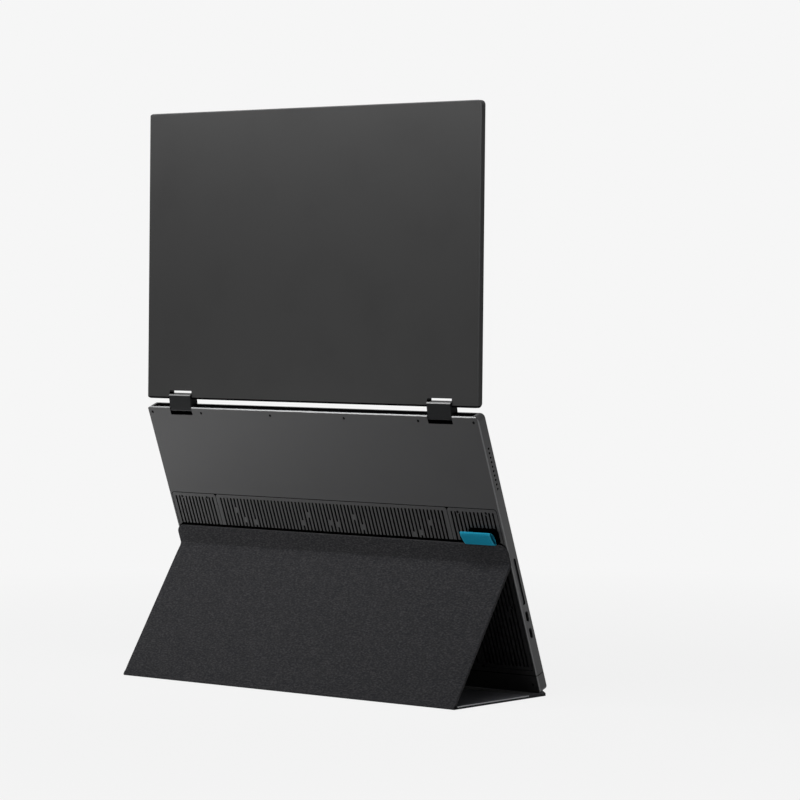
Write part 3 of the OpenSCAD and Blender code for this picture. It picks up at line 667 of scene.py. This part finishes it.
def plated_metal(name, colour, roughness, grain, depth):
    """A metal whose gloss and surface vary a little over a grain: its material."""
    made, tree, shader = new_material(name, colour, roughness, Metallic=1.0)
    coords = add_node(tree, "ShaderNodeTexCoord")
    uneven = add_node(
        tree,
        "ShaderNodeTexNoise",
        {"Vector": coords.outputs["Object"], "Scale": 1 / grain, "Detail": 4.0},
    )
    spread = add_node(
        tree,
        "ShaderNodeMapRange",
        {"Value": uneven.outputs["Fac"], "To Min": roughness - 0.08,
         "To Max": roughness + 0.08},
    )
    tree.links.new(spread.outputs[0], shader.inputs["Roughness"])
    bump = add_node(
        tree,
        "ShaderNodeBump",
        {"Height": uneven.outputs["Fac"], "Strength": 0.3, "Distance": depth},
    )
    tree.links.new(bump.outputs[0], shader.inputs["Normal"])
    return made


nickel = plated_metal("nickel_plating", "#b9b7b1", 0.25, 3 * mm, 0.01 * mm)
finish_nodes(nickel, "hold_magnets")

# --- Pull tab: a loop of woven polyester ribbon. Both of its ends are bonded
# between the strip and the housing, and the loop bulges away from the panel.
tab_w = 30 * mm
tab_x = -153.5 * mm
ribbon_t = 0.45 * mm
rib_pitch, yarn_grain = 0.6 * mm, 0.8 * mm
# millimetres off the housing's face and above the strip's upper edge
tab_path = [
    (0.9, -0.3), (0.9, 3.2), (1.3, 6.6), (2.6, 9.7), (4.3, 11.6), (5.5, 12.3),
    (6.3, 12.0), (6.6, 10.6), (6.3, 8.6), (5.4, 5.8), (4.3, 3.2), (3.3, 1.4),
    (2.5, 0.1),
]
tab_section = [(y * mm, fold_s + strip_h + s * mm) for y, s in tab_path]
tab_columns = [tab_x + x for x in spaced(-tab_w / 2, tab_w / 2, 3 * mm)]
pull_tab = lay_cloth("pull_tab_ribbon", tab_section, tab_columns)
finish_modifier(
    pull_tab, "SUBSURF", levels=2, render_levels=2, boundary_smooth="PRESERVE_CORNERS"
)
finish_modifier(pull_tab, "SOLIDIFY", thickness=ribbon_t, offset=-1)
place_in(pull_tab, in_housing)
shade(pull_tab, 50)
# Grosgrain has close ribs across the ribbon, a dull gloss and a paler woven edge.
ribbon_cloth, tree, shader = new_material(
    "teal_grosgrain_ribbon", "#1893b3", 0.75, Specular_IOR_Level=0.1
)
coords = add_node(tree, "ShaderNodeTexCoord")
centred = add_node(
    tree,
    "ShaderNodeMapping",
    {"Vector": coords.outputs["UV"], "Location": (-tab_x, 0, 0)},
)
across = add_node(tree, "ShaderNodeSeparateXYZ", {0: centred.outputs[0]})
side = add_node(
    tree, "ShaderNodeMath", {0: across.outputs["X"]}, operation="ABSOLUTE"
)
selvedge = add_node(
    tree,
    "ShaderNodeMapRange",
    {"Value": side.outputs[0], "From Min": tab_w / 2 - 1.6 * mm,
     "From Max": tab_w / 2 - 0.9 * mm},
)
ribs = add_node(
    tree,
    "ShaderNodeTexWave",
    {"Vector": coords.outputs["UV"], "Scale": wave_unit / rib_pitch},
    bands_direction="Y",
)
yarn = add_node(
    tree,
    "ShaderNodeTexNoise",
    {"Vector": coords.outputs["UV"], "Scale": 1 / yarn_grain, "Detail": 2.0},
)
tones = add_node(tree, "ShaderNodeValToRGB", {"Fac": yarn.outputs["Fac"]})
ramp = tones.color_ramp
ramp.elements[0].position, ramp.elements[0].color = 0.25, linear("#1289a9")
ramp.elements[1].position, ramp.elements[1].color = 0.75, linear("#1c9dbf")
edged = add_node(
    tree,
    "ShaderNodeMix",
    {0: selvedge.outputs[0], 6: tones.outputs["Color"], 7: linear("#2aa0c0")},
    data_type="RGBA",
)
tree.links.new(edged.outputs[2], shader.inputs["Base Color"])
bump = add_node(
    tree,
    "ShaderNodeBump",
    {"Height": ribs.outputs["Fac"], "Strength": 0.4, "Distance": 0.1 * mm},
)
tree.links.new(bump.outputs[0], shader.inputs["Normal"])
pull_tab.data.materials.append(ribbon_cloth)
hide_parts("pull_tab")
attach(pull_tab, "housing")

# --- Painted shadow: a dull black film, laid on the housing as a narrow margin
# round the strip's upper edge and as a patch above the tab, stands in for the
# shadows of the strip and the tab.
film_margin, film_t = 2.2 * mm, 0.12 * mm
patch_r, patch_h, patch_shift = 4 * mm, 11.5 * mm, 4 * mm
top_s = fold_s + strip_h + film_margin
edge_x = side_x - 0.9 * mm
# painted shadow: the film is flat black with no shine
shadow_film_black = new_material(
    "painted_shadow_film", "#030303", 0.9, Specular_IOR_Level=0.0
)[0]
# painted shadow of the strip along its upper edge, then of the tab above it
for name, left, right, low, high, round_r in (
    ("strip_painted_shadow", -edge_x, edge_x, top_s - strip_h, top_s,
     strip_r + film_margin / 2),
    ("tab_painted_shadow", tab_x - tab_w / 2 - patch_shift, tab_x + tab_w / 2 - patch_shift,
     top_s, top_s + patch_h, patch_r),
):
    bpy.ops.mesh.primitive_plane_add(size=1)
    film = bpy.context.object
    film.name = film.data.name = name
    film.scale = (right - left, high - low, 1)
    film.location = ((left + right) / 2, (low + high) / 2, 0)
    bpy.ops.object.transform_apply(location=True, rotation=True, scale=True)
    mesh = bmesh.new()
    mesh.from_mesh(film.data)
    upper = [v for v in mesh.verts if v.co.y > high - 1 * mm]
    bmesh.ops.bevel(
        mesh, geom=upper, offset=round_r, segments=10, profile=0.5, affect="VERTICES"
    )
    mesh.to_mesh(film.data)
    mesh.free()
    film.rotation_euler.x = math.pi / 2
    bpy.ops.object.transform_apply(location=False, rotation=True, scale=False)
    film.location.y = film_t
    finish_modifier(film, "SOLIDIFY", thickness=film_t, offset=0)
    place_in(film, in_housing)
    film.data.materials.append(shadow_film_black)
    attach(film, "housing")

# --- Shells of both panels: PC-ABS sprayed dark grey over a fine spark-eroded
# texture, which leaves them matt. Slots, recesses, notches, the edges beside the
# hinges, the cap's seam and the lid's lower edge are painted black without shine,
# as painted shade.
spark_grain = 0.35 * mm
spray_patch = 45 * mm  # the spray lies a little uneven in patches of this size
spray_roughness = 0.42
# painted shade: the black that stands in for shade in recesses and gaps
painted_shade_black = "#0b0b0c"
# the rear bevels are smoother and glossier, and take a paler grey as a painted highlight
bevel_highlight_grey, smooth_bevel_roughness, smooth_bevel_gloss = "#747577", 0.24, 0.7


def rear_bevels(tree, lean, amount=1.0):
    """The amount on faces at 45 degrees to a rear face of this lean, else 0."""
    towards = add_node(
        tree,
        "ShaderNodeVectorMath",
        {0: add_node(tree, "ShaderNodeTexCoord").outputs["Normal"],
         1: (0, math.cos(lean), -math.sin(lean))},
        operation="DOT_PRODUCT",
    )
    on_bevel = add_node(
        tree,
        "ShaderNodeMath",
        {0: towards.outputs["Value"], 1: math.sqrt(0.5), 2: 0.03},
        operation="COMPARE",
    )
    return add_node(
        tree,
        "ShaderNodeMath",
        {0: on_bevel.outputs[0], 1: amount},
        operation="MULTIPLY",
    ).outputs[0]


def inside_boxes(tree, place, boxes):
    """1 inside any of the boxes, each given by its ranges of |x|, y and z in a
    frame, else 0."""
    local = add_node(
        tree,
        "ShaderNodeMapping",
        {"Vector": add_node(tree, "ShaderNodeTexCoord").outputs["Object"],
         "Location": place.translation, "Rotation": tuple(place.to_euler())},
        vector_type="TEXTURE",
    )
    parts = add_node(tree, "ShaderNodeSeparateXYZ", {0: local.outputs[0]})
    across = add_node(
        tree, "ShaderNodeMath", {0: parts.outputs["X"]}, operation="ABSOLUTE"
    )
    sources = (across.outputs[0], parts.outputs["Y"], parts.outputs["Z"])
    found = 0.0
    for ranges in boxes:
        inside = 1.0
        for source, (low, high) in zip(sources, ranges):
            within = add_node(
                tree,
                "ShaderNodeMath",
                {0: source, 1: (low + high) / 2, 2: (high - low) / 2},
                operation="COMPARE",
            )
            inside = add_node(
                tree, "ShaderNodeMath", {0: inside, 1: within.outputs[0]},
                operation="MULTIPLY",
            ).outputs[0]
        found = add_node(
            tree, "ShaderNodeMath", {0: found, 1: inside}, operation="MAXIMUM"
        ).outputs[0]
    return found


def moulded_shell(name, colours, lean, gloss, bevel_share, place, shaded_boxes):
    """Shell material with smoother bevels round a rear face of this lean, painted paler
    as a painted highlight, and painted shade in black inside boxes of a frame."""
    made, tree, shader = new_material(name, colours[0], spray_roughness)
    coords = add_node(tree, "ShaderNodeTexCoord")
    texture = add_node(
        tree,
        "ShaderNodeTexNoise",
        {"Vector": coords.outputs["Object"], "Scale": 1 / spark_grain, "Detail": 3.0},
    )
    spray = add_node(
        tree,
        "ShaderNodeTexNoise",
        {"Vector": coords.outputs["Object"], "Scale": 1 / spray_patch, "Detail": 3.0},
    )
    mottle = add_node(
        tree,
        "ShaderNodeMath",
        {0: texture.outputs["Fac"], 1: spray.outputs["Fac"]},
        operation="ADD",
    )
    tones = add_node(tree, "ShaderNodeValToRGB", {"Fac": mottle.outputs[0]})
    ramp = tones.color_ramp
    ramp.elements[0].position, ramp.elements[0].color = 0.6, linear(colours[0])
    ramp.elements[1].position, ramp.elements[1].color = 1.0, linear(colours[1])
    patchy = add_node(
        tree,
        "ShaderNodeMapRange",
        {"Value": spray.outputs["Fac"], "To Min": spray_roughness - 0.03,
         "To Max": spray_roughness + 0.03},
    )
    # painted highlight: a paler grey on the rear bevels, which are also smoother and glossier
    bevels = rear_bevels(tree, lean, bevel_share)
    highlighted = add_node(
        tree,
        "ShaderNodeMix",
        {0: bevels, 6: tones.outputs["Color"], 7: linear(bevel_highlight_grey)},
        data_type="RGBA",
    )
    # painted shade: black inside the boxes, and no shine there
    black = inside_boxes(tree, place, shaded_boxes)
    sprayed = add_node(
        tree,
        "ShaderNodeMix",
        {0: black, 6: highlighted.outputs[2], 7: linear(painted_shade_black)},
        data_type="RGBA",
    )
    smoothed = add_node(
        tree, "ShaderNodeMix", {0: bevels, 2: patchy.outputs[0], 3: smooth_bevel_roughness}
    )
    glossed = add_node(tree, "ShaderNodeMix", {0: bevels, 2: gloss, 3: smooth_bevel_gloss})
    dulled = add_node(
        tree, "ShaderNodeMix", {0: black, 2: glossed.outputs[0], 3: 0.0}
    )
    bump = add_node(
        tree,
        "ShaderNodeBump",
        {"Height": texture.outputs["Fac"], "Strength": 0.12, "Distance": 0.03 * mm},
    )
    tree.links.new(sprayed.outputs[2], shader.inputs["Base Color"])
    tree.links.new(smoothed.outputs[0], shader.inputs["Roughness"])
    tree.links.new(dulled.outputs[0], shader.inputs["Specular IOR Level"])
    tree.links.new(bump.outputs[0], shader.inputs["Normal"])
    return made


housing_t, housing_len, cap_seam = 9 * mm, 238 * mm, 15.6 * mm
edge_depth = 1.6 * mm  # how far the rounded and bevelled edges reach
seam_half = 0.35 * mm
beyond = 1 * mm  # boxes that take in an outer face reach this far out of it
# painted shade: boxes in the housing's frame painted black where shade falls
painted_shade_boxes = (
    # slots, grooves, screw holes and hinge wells
    ((0, side_x - 2 * mm), (0.5 * mm - housing_t, -0.25 * mm),
     (edge_depth, housing_len - edge_depth)),
    # recesses in the sides
    ((0, side_x - 0.25 * mm), (edge_depth - housing_t, -edge_depth),
     (8 * mm, housing_len - 8 * mm)),
    # the edge beside the hinges
    ((0, side_x - 6 * mm), (1.3 * mm - housing_t, -0.95 * mm),
     (housing_len - edge_depth, housing_len + 0.2 * mm)),
    # the seam over the bottom cap
    ((0, side_x + beyond), (-housing_t - beyond, beyond),
     (cap_seam - seam_half, cap_seam + seam_half)),
)
finish_nodes(
    moulded_shell(
        "moulded_pc_abs",
        ("#2e2e2f", "#323233"),
        base_lean,
        0.3,
        1.0,
        in_housing,
        painted_shade_boxes,
    ),
    "housing_back_cover",
    "housing_front_cover",
    "bottom_edge_cap",
    "vent_grille_left",
    "vent_grille_centre",
    "vent_grille_right",
)
lid_low, lid_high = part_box("lid_back_cover")
block_low, block_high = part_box("hinge_block_right")
notch_rim = 0.8 * mm
lid_depth = (lid_low.y - beyond, lid_high.y + beyond)
# the screen panel stands upright, so its boxes are in the model's own frame
# painted shade: boxes painted black along the lid's lower edge and round its notches
lid_painted_shade_boxes = (
    # the lower edge
    ((0, lid_high.x + beyond), lid_depth,
     (lid_low.z - beyond, lid_low.z + edge_depth)),
    # the edges of the hinge notches
    ((block_low.x - notch_rim, block_high.x + notch_rim), lid_depth,
     (lid_low.z, block_high.z + notch_rim)),
)
finish_nodes(
    moulded_shell(
        "moulded_lid_pc_abs",
        ("#333333", "#373737"),
        0.0,
        0.1,
        0.2,
        Matrix(),
        lid_painted_shade_boxes,
    ),
    "lid_back_cover",
)

# --- Dust mesh behind the slots: woven steel wire blackened dull, so that the
# slots stay dark. Its wires of 0.1 mm are drawn 0.6 mm apart so that they show.
wire_pitch = 0.6 * mm
dust_mesh, tree, shader = new_material(
    "black_wire_mesh", "#060607", 0.8, Specular_IOR_Level=0.0
)
coords = add_node(tree, "ShaderNodeTexCoord")
wires_x = add_node(
    tree,
    "ShaderNodeTexWave",
    {"Vector": coords.outputs["Object"], "Scale": wave_unit / wire_pitch},
    bands_direction="X",
)
wires_z = add_node(
    tree,
    "ShaderNodeTexWave",
    {"Vector": coords.outputs["Object"], "Scale": wave_unit / wire_pitch},
    bands_direction="Z",
)
wires = add_node(
    tree,
    "ShaderNodeMath",
    {0: wires_x.outputs["Fac"], 1: wires_z.outputs["Fac"]},
    operation="MAXIMUM",
)
tones = add_node(tree, "ShaderNodeValToRGB", {"Fac": wires.outputs[0]})
ramp = tones.color_ramp
ramp.elements[0].position, ramp.elements[0].color = 0.55, linear("#010101")
ramp.elements[1].position, ramp.elements[1].color = 0.85, linear("#0b0b0c")
tree.links.new(tones.outputs["Color"], shader.inputs["Base Color"])
bump = add_node(
    tree,
    "ShaderNodeBump",
    {"Height": wires.outputs[0], "Strength": 0.6, "Distance": 0.1 * mm},
)
tree.links.new(bump.outputs[0], shader.inputs["Normal"])
finish_nodes(dust_mesh, "vent_mesh")

# --- Screws in the back: M1.4 cross-recess pan heads in steel with a dull black
# oxide, sunk in their holes. One is modelled and the others are copies of it.
black_oxide = plated_metal("black_oxide_steel", "#030304", 0.5, 1.2 * mm, 0.01 * mm)
head_r, head_t, head_sink = 1.1 * mm, 0.5 * mm, 0.35 * mm
shank_r, shank_len = 0.7 * mm, 2.2 * mm
recess_size = (1.25 * mm, 0.26 * mm, 0.5 * mm)  # one arm of the cross
bpy.ops.mesh.primitive_cylinder_add(
    vertices=32, radius=head_r, depth=head_t, location=(0, 0, -head_sink - head_t / 2)
)
screw = bpy.context.object
bpy.ops.object.transform_apply(location=True, rotation=True, scale=True)
bpy.ops.object.mode_set(mode="EDIT")
bpy.ops.mesh.select_all(action="DESELECT")
bpy.ops.object.mode_set(mode="OBJECT")
for face in screw.data.polygons:
    face.select = face.normal.z < -0.9
bpy.ops.object.mode_set(mode="EDIT")
bpy.ops.mesh.inset(thickness=head_r - shank_r)
bpy.ops.mesh.extrude_region_move(TRANSFORM_OT_translate={"value": (0, 0, -shank_len)})
bpy.ops.object.mode_set(mode="OBJECT")
finish_modifier(
    screw, "BEVEL", limit_method="ANGLE", angle_limit=math.radians(60),
    width=0.12 * mm, segments=2,
)
bpy.ops.mesh.primitive_cube_add(size=1, location=(0, 0, -head_sink))
recess = bpy.context.object
recess.scale = recess_size
bpy.ops.object.transform_apply(location=False, rotation=False, scale=True)
finish_modifier(screw, "BOOLEAN", operation="DIFFERENCE", object=recess)
recess.rotation_euler.z = math.pi / 2
finish_modifier(screw, "BOOLEAN", operation="DIFFERENCE", object=recess)
bpy.data.objects.remove(recess)

hinge_x = 139.5 * mm
hinge_row, vent_row, side_row, cap_row = 233.2 * mm, 156 * mm, 75 * mm, 7.4 * mm
screw_spots = [
    (sign * x, s)
    for sign in (-1, 1)
    for x, s in (
        (39.8 * mm, hinge_row),
        (hinge_x - 22.4 * mm, hinge_row),
        (side_x - 5.1 * mm, hinge_row),
        (side_x - 6 * mm, cap_row),
        (side_x - 14 * mm, vent_row),
        (side_x - 42.5 * mm, vent_row),
        (side_x - 9.5 * mm, side_row),
    )
]


def join_as(name, pieces):
    """Joins pieces, with their places in their meshes, into one of this name."""
    bpy.ops.object.select_all(action="DESELECT")
    for piece in pieces:
        piece.select_set(True)
    bpy.context.view_layer.objects.active = pieces[0]
    bpy.ops.object.transform_apply(location=True, rotation=True, scale=True)
    bpy.ops.object.join()
    joined = bpy.context.object
    joined.name = joined.data.name = name
    return joined


copies = []
# each one ends its turn at an angle of its own
for number, (x, s) in enumerate(screw_spots):
    copy = screw.copy()
    copy.data = screw.data.copy()
    scene.collection.objects.link(copy)
    copy.matrix_world = (
        Matrix.Translation((x, 0, s))
        @ Matrix.Rotation(math.radians(-90), 4, "X")
        @ Matrix.Rotation(number * 0.9, 4, "Z")
    )
    copies.append(copy)
bpy.data.objects.remove(screw)
screws = join_as("cover_screws", copies)
place_in(screws, in_housing)
shade(screws, 40)
screws.data.materials.append(black_oxide)
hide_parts("back_screws")
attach(screws, "housing")

# --- Side sockets: steel shells drawn round and plated with black nickel, which
# leaves a dark gleam, each with a tongue that carries bright gold-plated
# contacts. Tongues, key switches and speakers are moulded in dull black nylon.
black_nickel = plated_metal("black_nickel_plating", "#4a4b4d", 0.36, 2 * mm, 0.01 * mm)
finish_nodes(black_nickel, "usb_socket_upper", "usb_socket_lower")
black_nylon, tree, shader = new_material(
    "black_glass_filled_nylon", "#17181a", 0.55, Specular_IOR_Level=0.4
)
grit = speckle(tree, shader, 0.5 * mm, 3.0, "#131416", "#1d1e20")
bump = add_node(
    tree,
    "ShaderNodeBump",
    {"Height": grit.outputs["Fac"], "Strength": 0.3, "Distance": 0.03 * mm},
)
tree.links.new(bump.outputs[0], shader.inputs["Normal"])
finish_nodes(
    black_nylon, "socket_tongues", "key_switches", "speaker_left", "speaker_right"
)

gold = plated_metal("gold_plated_contacts", "#c9a25a", 0.28, 1 * mm, 0.005 * mm)
side_mid_y = -4.6 * mm
socket_s, socket_pitch = 51.4 * mm, 14.4 * mm
contact_x, contact_face = 3.8 * mm - side_x, 0.38 * mm
contact_count, contact_pitch = 12, 0.5 * mm
first_contact_s = socket_s - (contact_count - 1) * contact_pitch / 2
bpy.ops.mesh.primitive_cube_add(size=1, location=(0, 0, 0))
contact = bpy.context.object
contact.name = contact.data.name = "socket_contacts"
contact.scale = (3.6 * mm, 0.08 * mm, 0.26 * mm)
contact.location = (contact_x, side_mid_y + contact_face, first_contact_s)
bpy.ops.object.transform_apply(location=True, rotation=True, scale=True)
finish_modifier(contact, "BEVEL", width=0.03 * mm, segments=1)
# a row of contacts, then the tongue's other face, then the other socket
for count, step in (
    (contact_count, (0, 0, contact_pitch)),
    (2, (0, -2 * contact_face, 0)),
    (2, (0, 0, socket_pitch)),
):
    finish_modifier(
        contact, "ARRAY", count=count, use_relative_offset=False,
        use_constant_offset=True, constant_offset_displace=step,
    )
place_in(contact, in_housing)
contact.data.materials.append(gold)
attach(contact, "housing")

# --- Side keys: three keys moulded in dark grey ABS with a fine satin grain, in
# one sunk recess. The middle one has two small bumps that a finger finds.
key_plastic, tree, shader = new_material(
    "moulded_abs_keys", "#3a3b3d", 0.5, Specular_IOR_Level=0.35
)
grain = speckle(tree, shader, 0.4 * mm, 2.0, "#323335", "#3e3f41")
bump = add_node(
    tree,
    "ShaderNodeBump",
    {"Height": grain.outputs["Fac"], "Strength": 0.2, "Distance": 0.02 * mm},
)
tree.links.new(bump.outputs[0], shader.inputs["Normal"])
finish_nodes(key_plastic, "key_up", "key_select", "key_down")

key_face, key_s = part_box("key_select")[0].x, 96 * mm
bump_r, bump_shift = 0.55 * mm, 1.4 * mm
domes = []
for s in (key_s - bump_shift, key_s + bump_shift):
    bpy.ops.mesh.primitive_uv_sphere_add(segments=24, ring_count=12, radius=bump_r)
    dome = bpy.context.object
    dome.scale = (0.5, 1, 1)
    dome.location = (key_face, side_mid_y, s)
    domes.append(dome)
key_bumps = join_as("select_key_bumps", domes)
place_in(key_bumps, in_housing)
shade(key_bumps, 60)
key_bumps.data.materials.append(key_plastic)
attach(key_bumps, "key_select_body")

# --- Electronics: a zinc-plated chassis with broad soft spangles, bright tinned
# shields, and boards under green solder mask with a light gloss, through which
# their tracks show faintly. Tracks of 0.2 mm are drawn 2.5 mm wide so they show.
track_size = 2.5 * mm
zinc = plated_metal("zinc_plated_steel", "#a7abae", 0.38, 6 * mm, 0.02 * mm)
finish_nodes(zinc, "chassis_plate")
tin = plated_metal("tinned_steel", "#bcbdbb", 0.3, 4 * mm, 0.01 * mm)
finish_nodes(tin, "board_shields")
solder_mask, tree, shader = new_material(
    "green_solder_mask", "#1f4a35", 0.35, Coat_Weight=0.3, Coat_Roughness=0.25
)
coords = add_node(tree, "ShaderNodeTexCoord")
tracks = add_node(
    tree,
    "ShaderNodeTexVoronoi",
    {"Vector": coords.outputs["Object"], "Scale": 1 / track_size},
    distance="MANHATTAN",
)
tones = add_node(tree, "ShaderNodeValToRGB", {"Fac": tracks.outputs["Distance"]})
ramp = tones.color_ramp
ramp.interpolation = "CONSTANT"
ramp.elements[0].position, ramp.elements[0].color = 0.0, linear("#1a4230")
ramp.elements[1].position, ramp.elements[1].color = 0.45, linear("#25563e")
tree.links.new(tones.outputs["Color"], shader.inputs["Base Color"])
finish_nodes(solder_mask, "main_board", "key_board", "timing_board")

# --- Hinges: ground steel shafts clamped in pressed brackets, with a clean gleam,
# and cast zinc blocks with a satin black coat that shows a bright line along
# its bevels.
shaft_steel = plated_metal("ground_hinge_steel", "#8f9194", 0.28, 1.5 * mm, 0.01 * mm)
finish_nodes(
    shaft_steel,
    "lower_shaft_left",
    "lower_shaft_right",
    "upper_shaft_left",
    "upper_shaft_right",
    "lower_bracket_left",
    "lower_bracket_right",
    "upper_bracket_left",
    "upper_bracket_right",
)
block_coat, tree, shader = new_material(
    "satin_black_coat", "#222324", 0.35, Specular_IOR_Level=0.03
)
powder = speckle(tree, shader, 0.4 * mm, 3.0, "#202122", "#262728")
block_axes = [Vector(joints[f"lid_hinge_{end}"]["pos_m"]) for end in ("lower", "upper")]
block_up = block_axes[1] - block_axes[0]
glossed = add_node(
    tree,
    "ShaderNodeMix",
    {0: rear_bevels(tree, math.atan2(block_up.y, block_up.z)), 2: 0.03, 3: 1.0},
    data_type="FLOAT",
)
tree.links.new(glossed.outputs[0], shader.inputs["Specular IOR Level"])
bump = add_node(
    tree,
    "ShaderNodeBump",
    {"Height": powder.outputs["Fac"], "Strength": 0.25, "Distance": 0.02 * mm},
)
tree.links.new(bump.outputs[0], shader.inputs["Normal"])
finish_nodes(block_coat, "hinge_block_left", "hinge_block_right")

# --- Screen cable: a flat ribbon and its round crossing in the hinge, jacketed in
# soft black PVC whose satin skin is glossier in places.
skin_grain = 1.5 * mm
cable_jacket, tree, shader = new_material(
    "black_pvc_jacket", "#141516", 0.5, Specular_IOR_Level=0.45
)
coords = add_node(tree, "ShaderNodeTexCoord")
skin = add_node(
    tree,
    "ShaderNodeTexNoise",
    {"Vector": coords.outputs["Object"], "Scale": 1 / skin_grain, "Detail": 2.0},
)
spread = add_node(
    tree,
    "ShaderNodeMapRange",
    {"Value": skin.outputs["Fac"], "To Min": 0.42, "To Max": 0.58},
)
tree.links.new(spread.outputs[0], shader.inputs["Roughness"])
finish_nodes(cable_jacket, "housing_cable", "hinge_cable", "screen_cable")

# --- Screen: a black ABS bezel with a moulded grain, clipped round etched glass
# over the liquid crystal layer, a white backlight film, and four rubber bumpers.
bezel_plastic, tree, shader = new_material(
    "moulded_bezel_abs", "#141517", 0.5, Specular_IOR_Level=0.4
)
grain = speckle(tree, shader, 0.4 * mm, 3.0, "#111214", "#191a1c")
bump = add_node(
    tree,
    "ShaderNodeBump",
    {"Height": grain.outputs["Fac"], "Strength": 0.25, "Distance": 0.03 * mm},
)
tree.links.new(bump.outputs[0], shader.inputs["Normal"])
finish_nodes(bezel_plastic, "screen_bezel")

# The etch takes the mirror off the dark glass and leaves a soft gloss.
etch_grain = 0.3 * mm
screen_glass, tree, shader = new_material(
    "anti_glare_glass", "#0a0b0d", 0.24, Specular_IOR_Level=0.5
)
coords = add_node(tree, "ShaderNodeTexCoord")
etch = add_node(
    tree,
    "ShaderNodeTexNoise",
    {"Vector": coords.outputs["Object"], "Scale": 1 / etch_grain, "Detail": 2.0},
)
spread = add_node(
    tree,
    "ShaderNodeMapRange",
    {"Value": etch.outputs["Fac"], "To Min": 0.2, "To Max": 0.28},
)
tree.links.new(spread.outputs[0], shader.inputs["Roughness"])
finish_nodes(screen_glass, "lcd_panel")

# The film is milky white with a faint pattern of printed dots.
dot_pitch = 1.5 * mm
diffuser, tree, shader = new_material("white_diffuser_film", "#dcdddf", 0.6)
coords = add_node(tree, "ShaderNodeTexCoord")
dots = add_node(
    tree,
    "ShaderNodeTexVoronoi",
    {"Vector": coords.outputs["Object"], "Scale": 1 / dot_pitch},
)
tones = add_node(tree, "ShaderNodeValToRGB", {"Fac": dots.outputs["Distance"]})
ramp = tones.color_ramp
ramp.elements[0].position, ramp.elements[0].color = 0.2, linear("#d2d3d5")
ramp.elements[1].position, ramp.elements[1].color = 0.5, linear("#e0e1e3")
tree.links.new(tones.outputs["Color"], shader.inputs["Base Color"])
finish_nodes(diffuser, "backlight")

# Silicone rubber is dull and holds a little pale dust.
rubber, tree, shader = new_material(
    "black_silicone_rubber", "#1a1b1c", 0.8, Specular_IOR_Level=0.3
)
speckle(tree, shader, 0.9 * mm, 3.0, "#151617", "#222325", 0.75)
finish_nodes(rubber, "screen_bumpers")
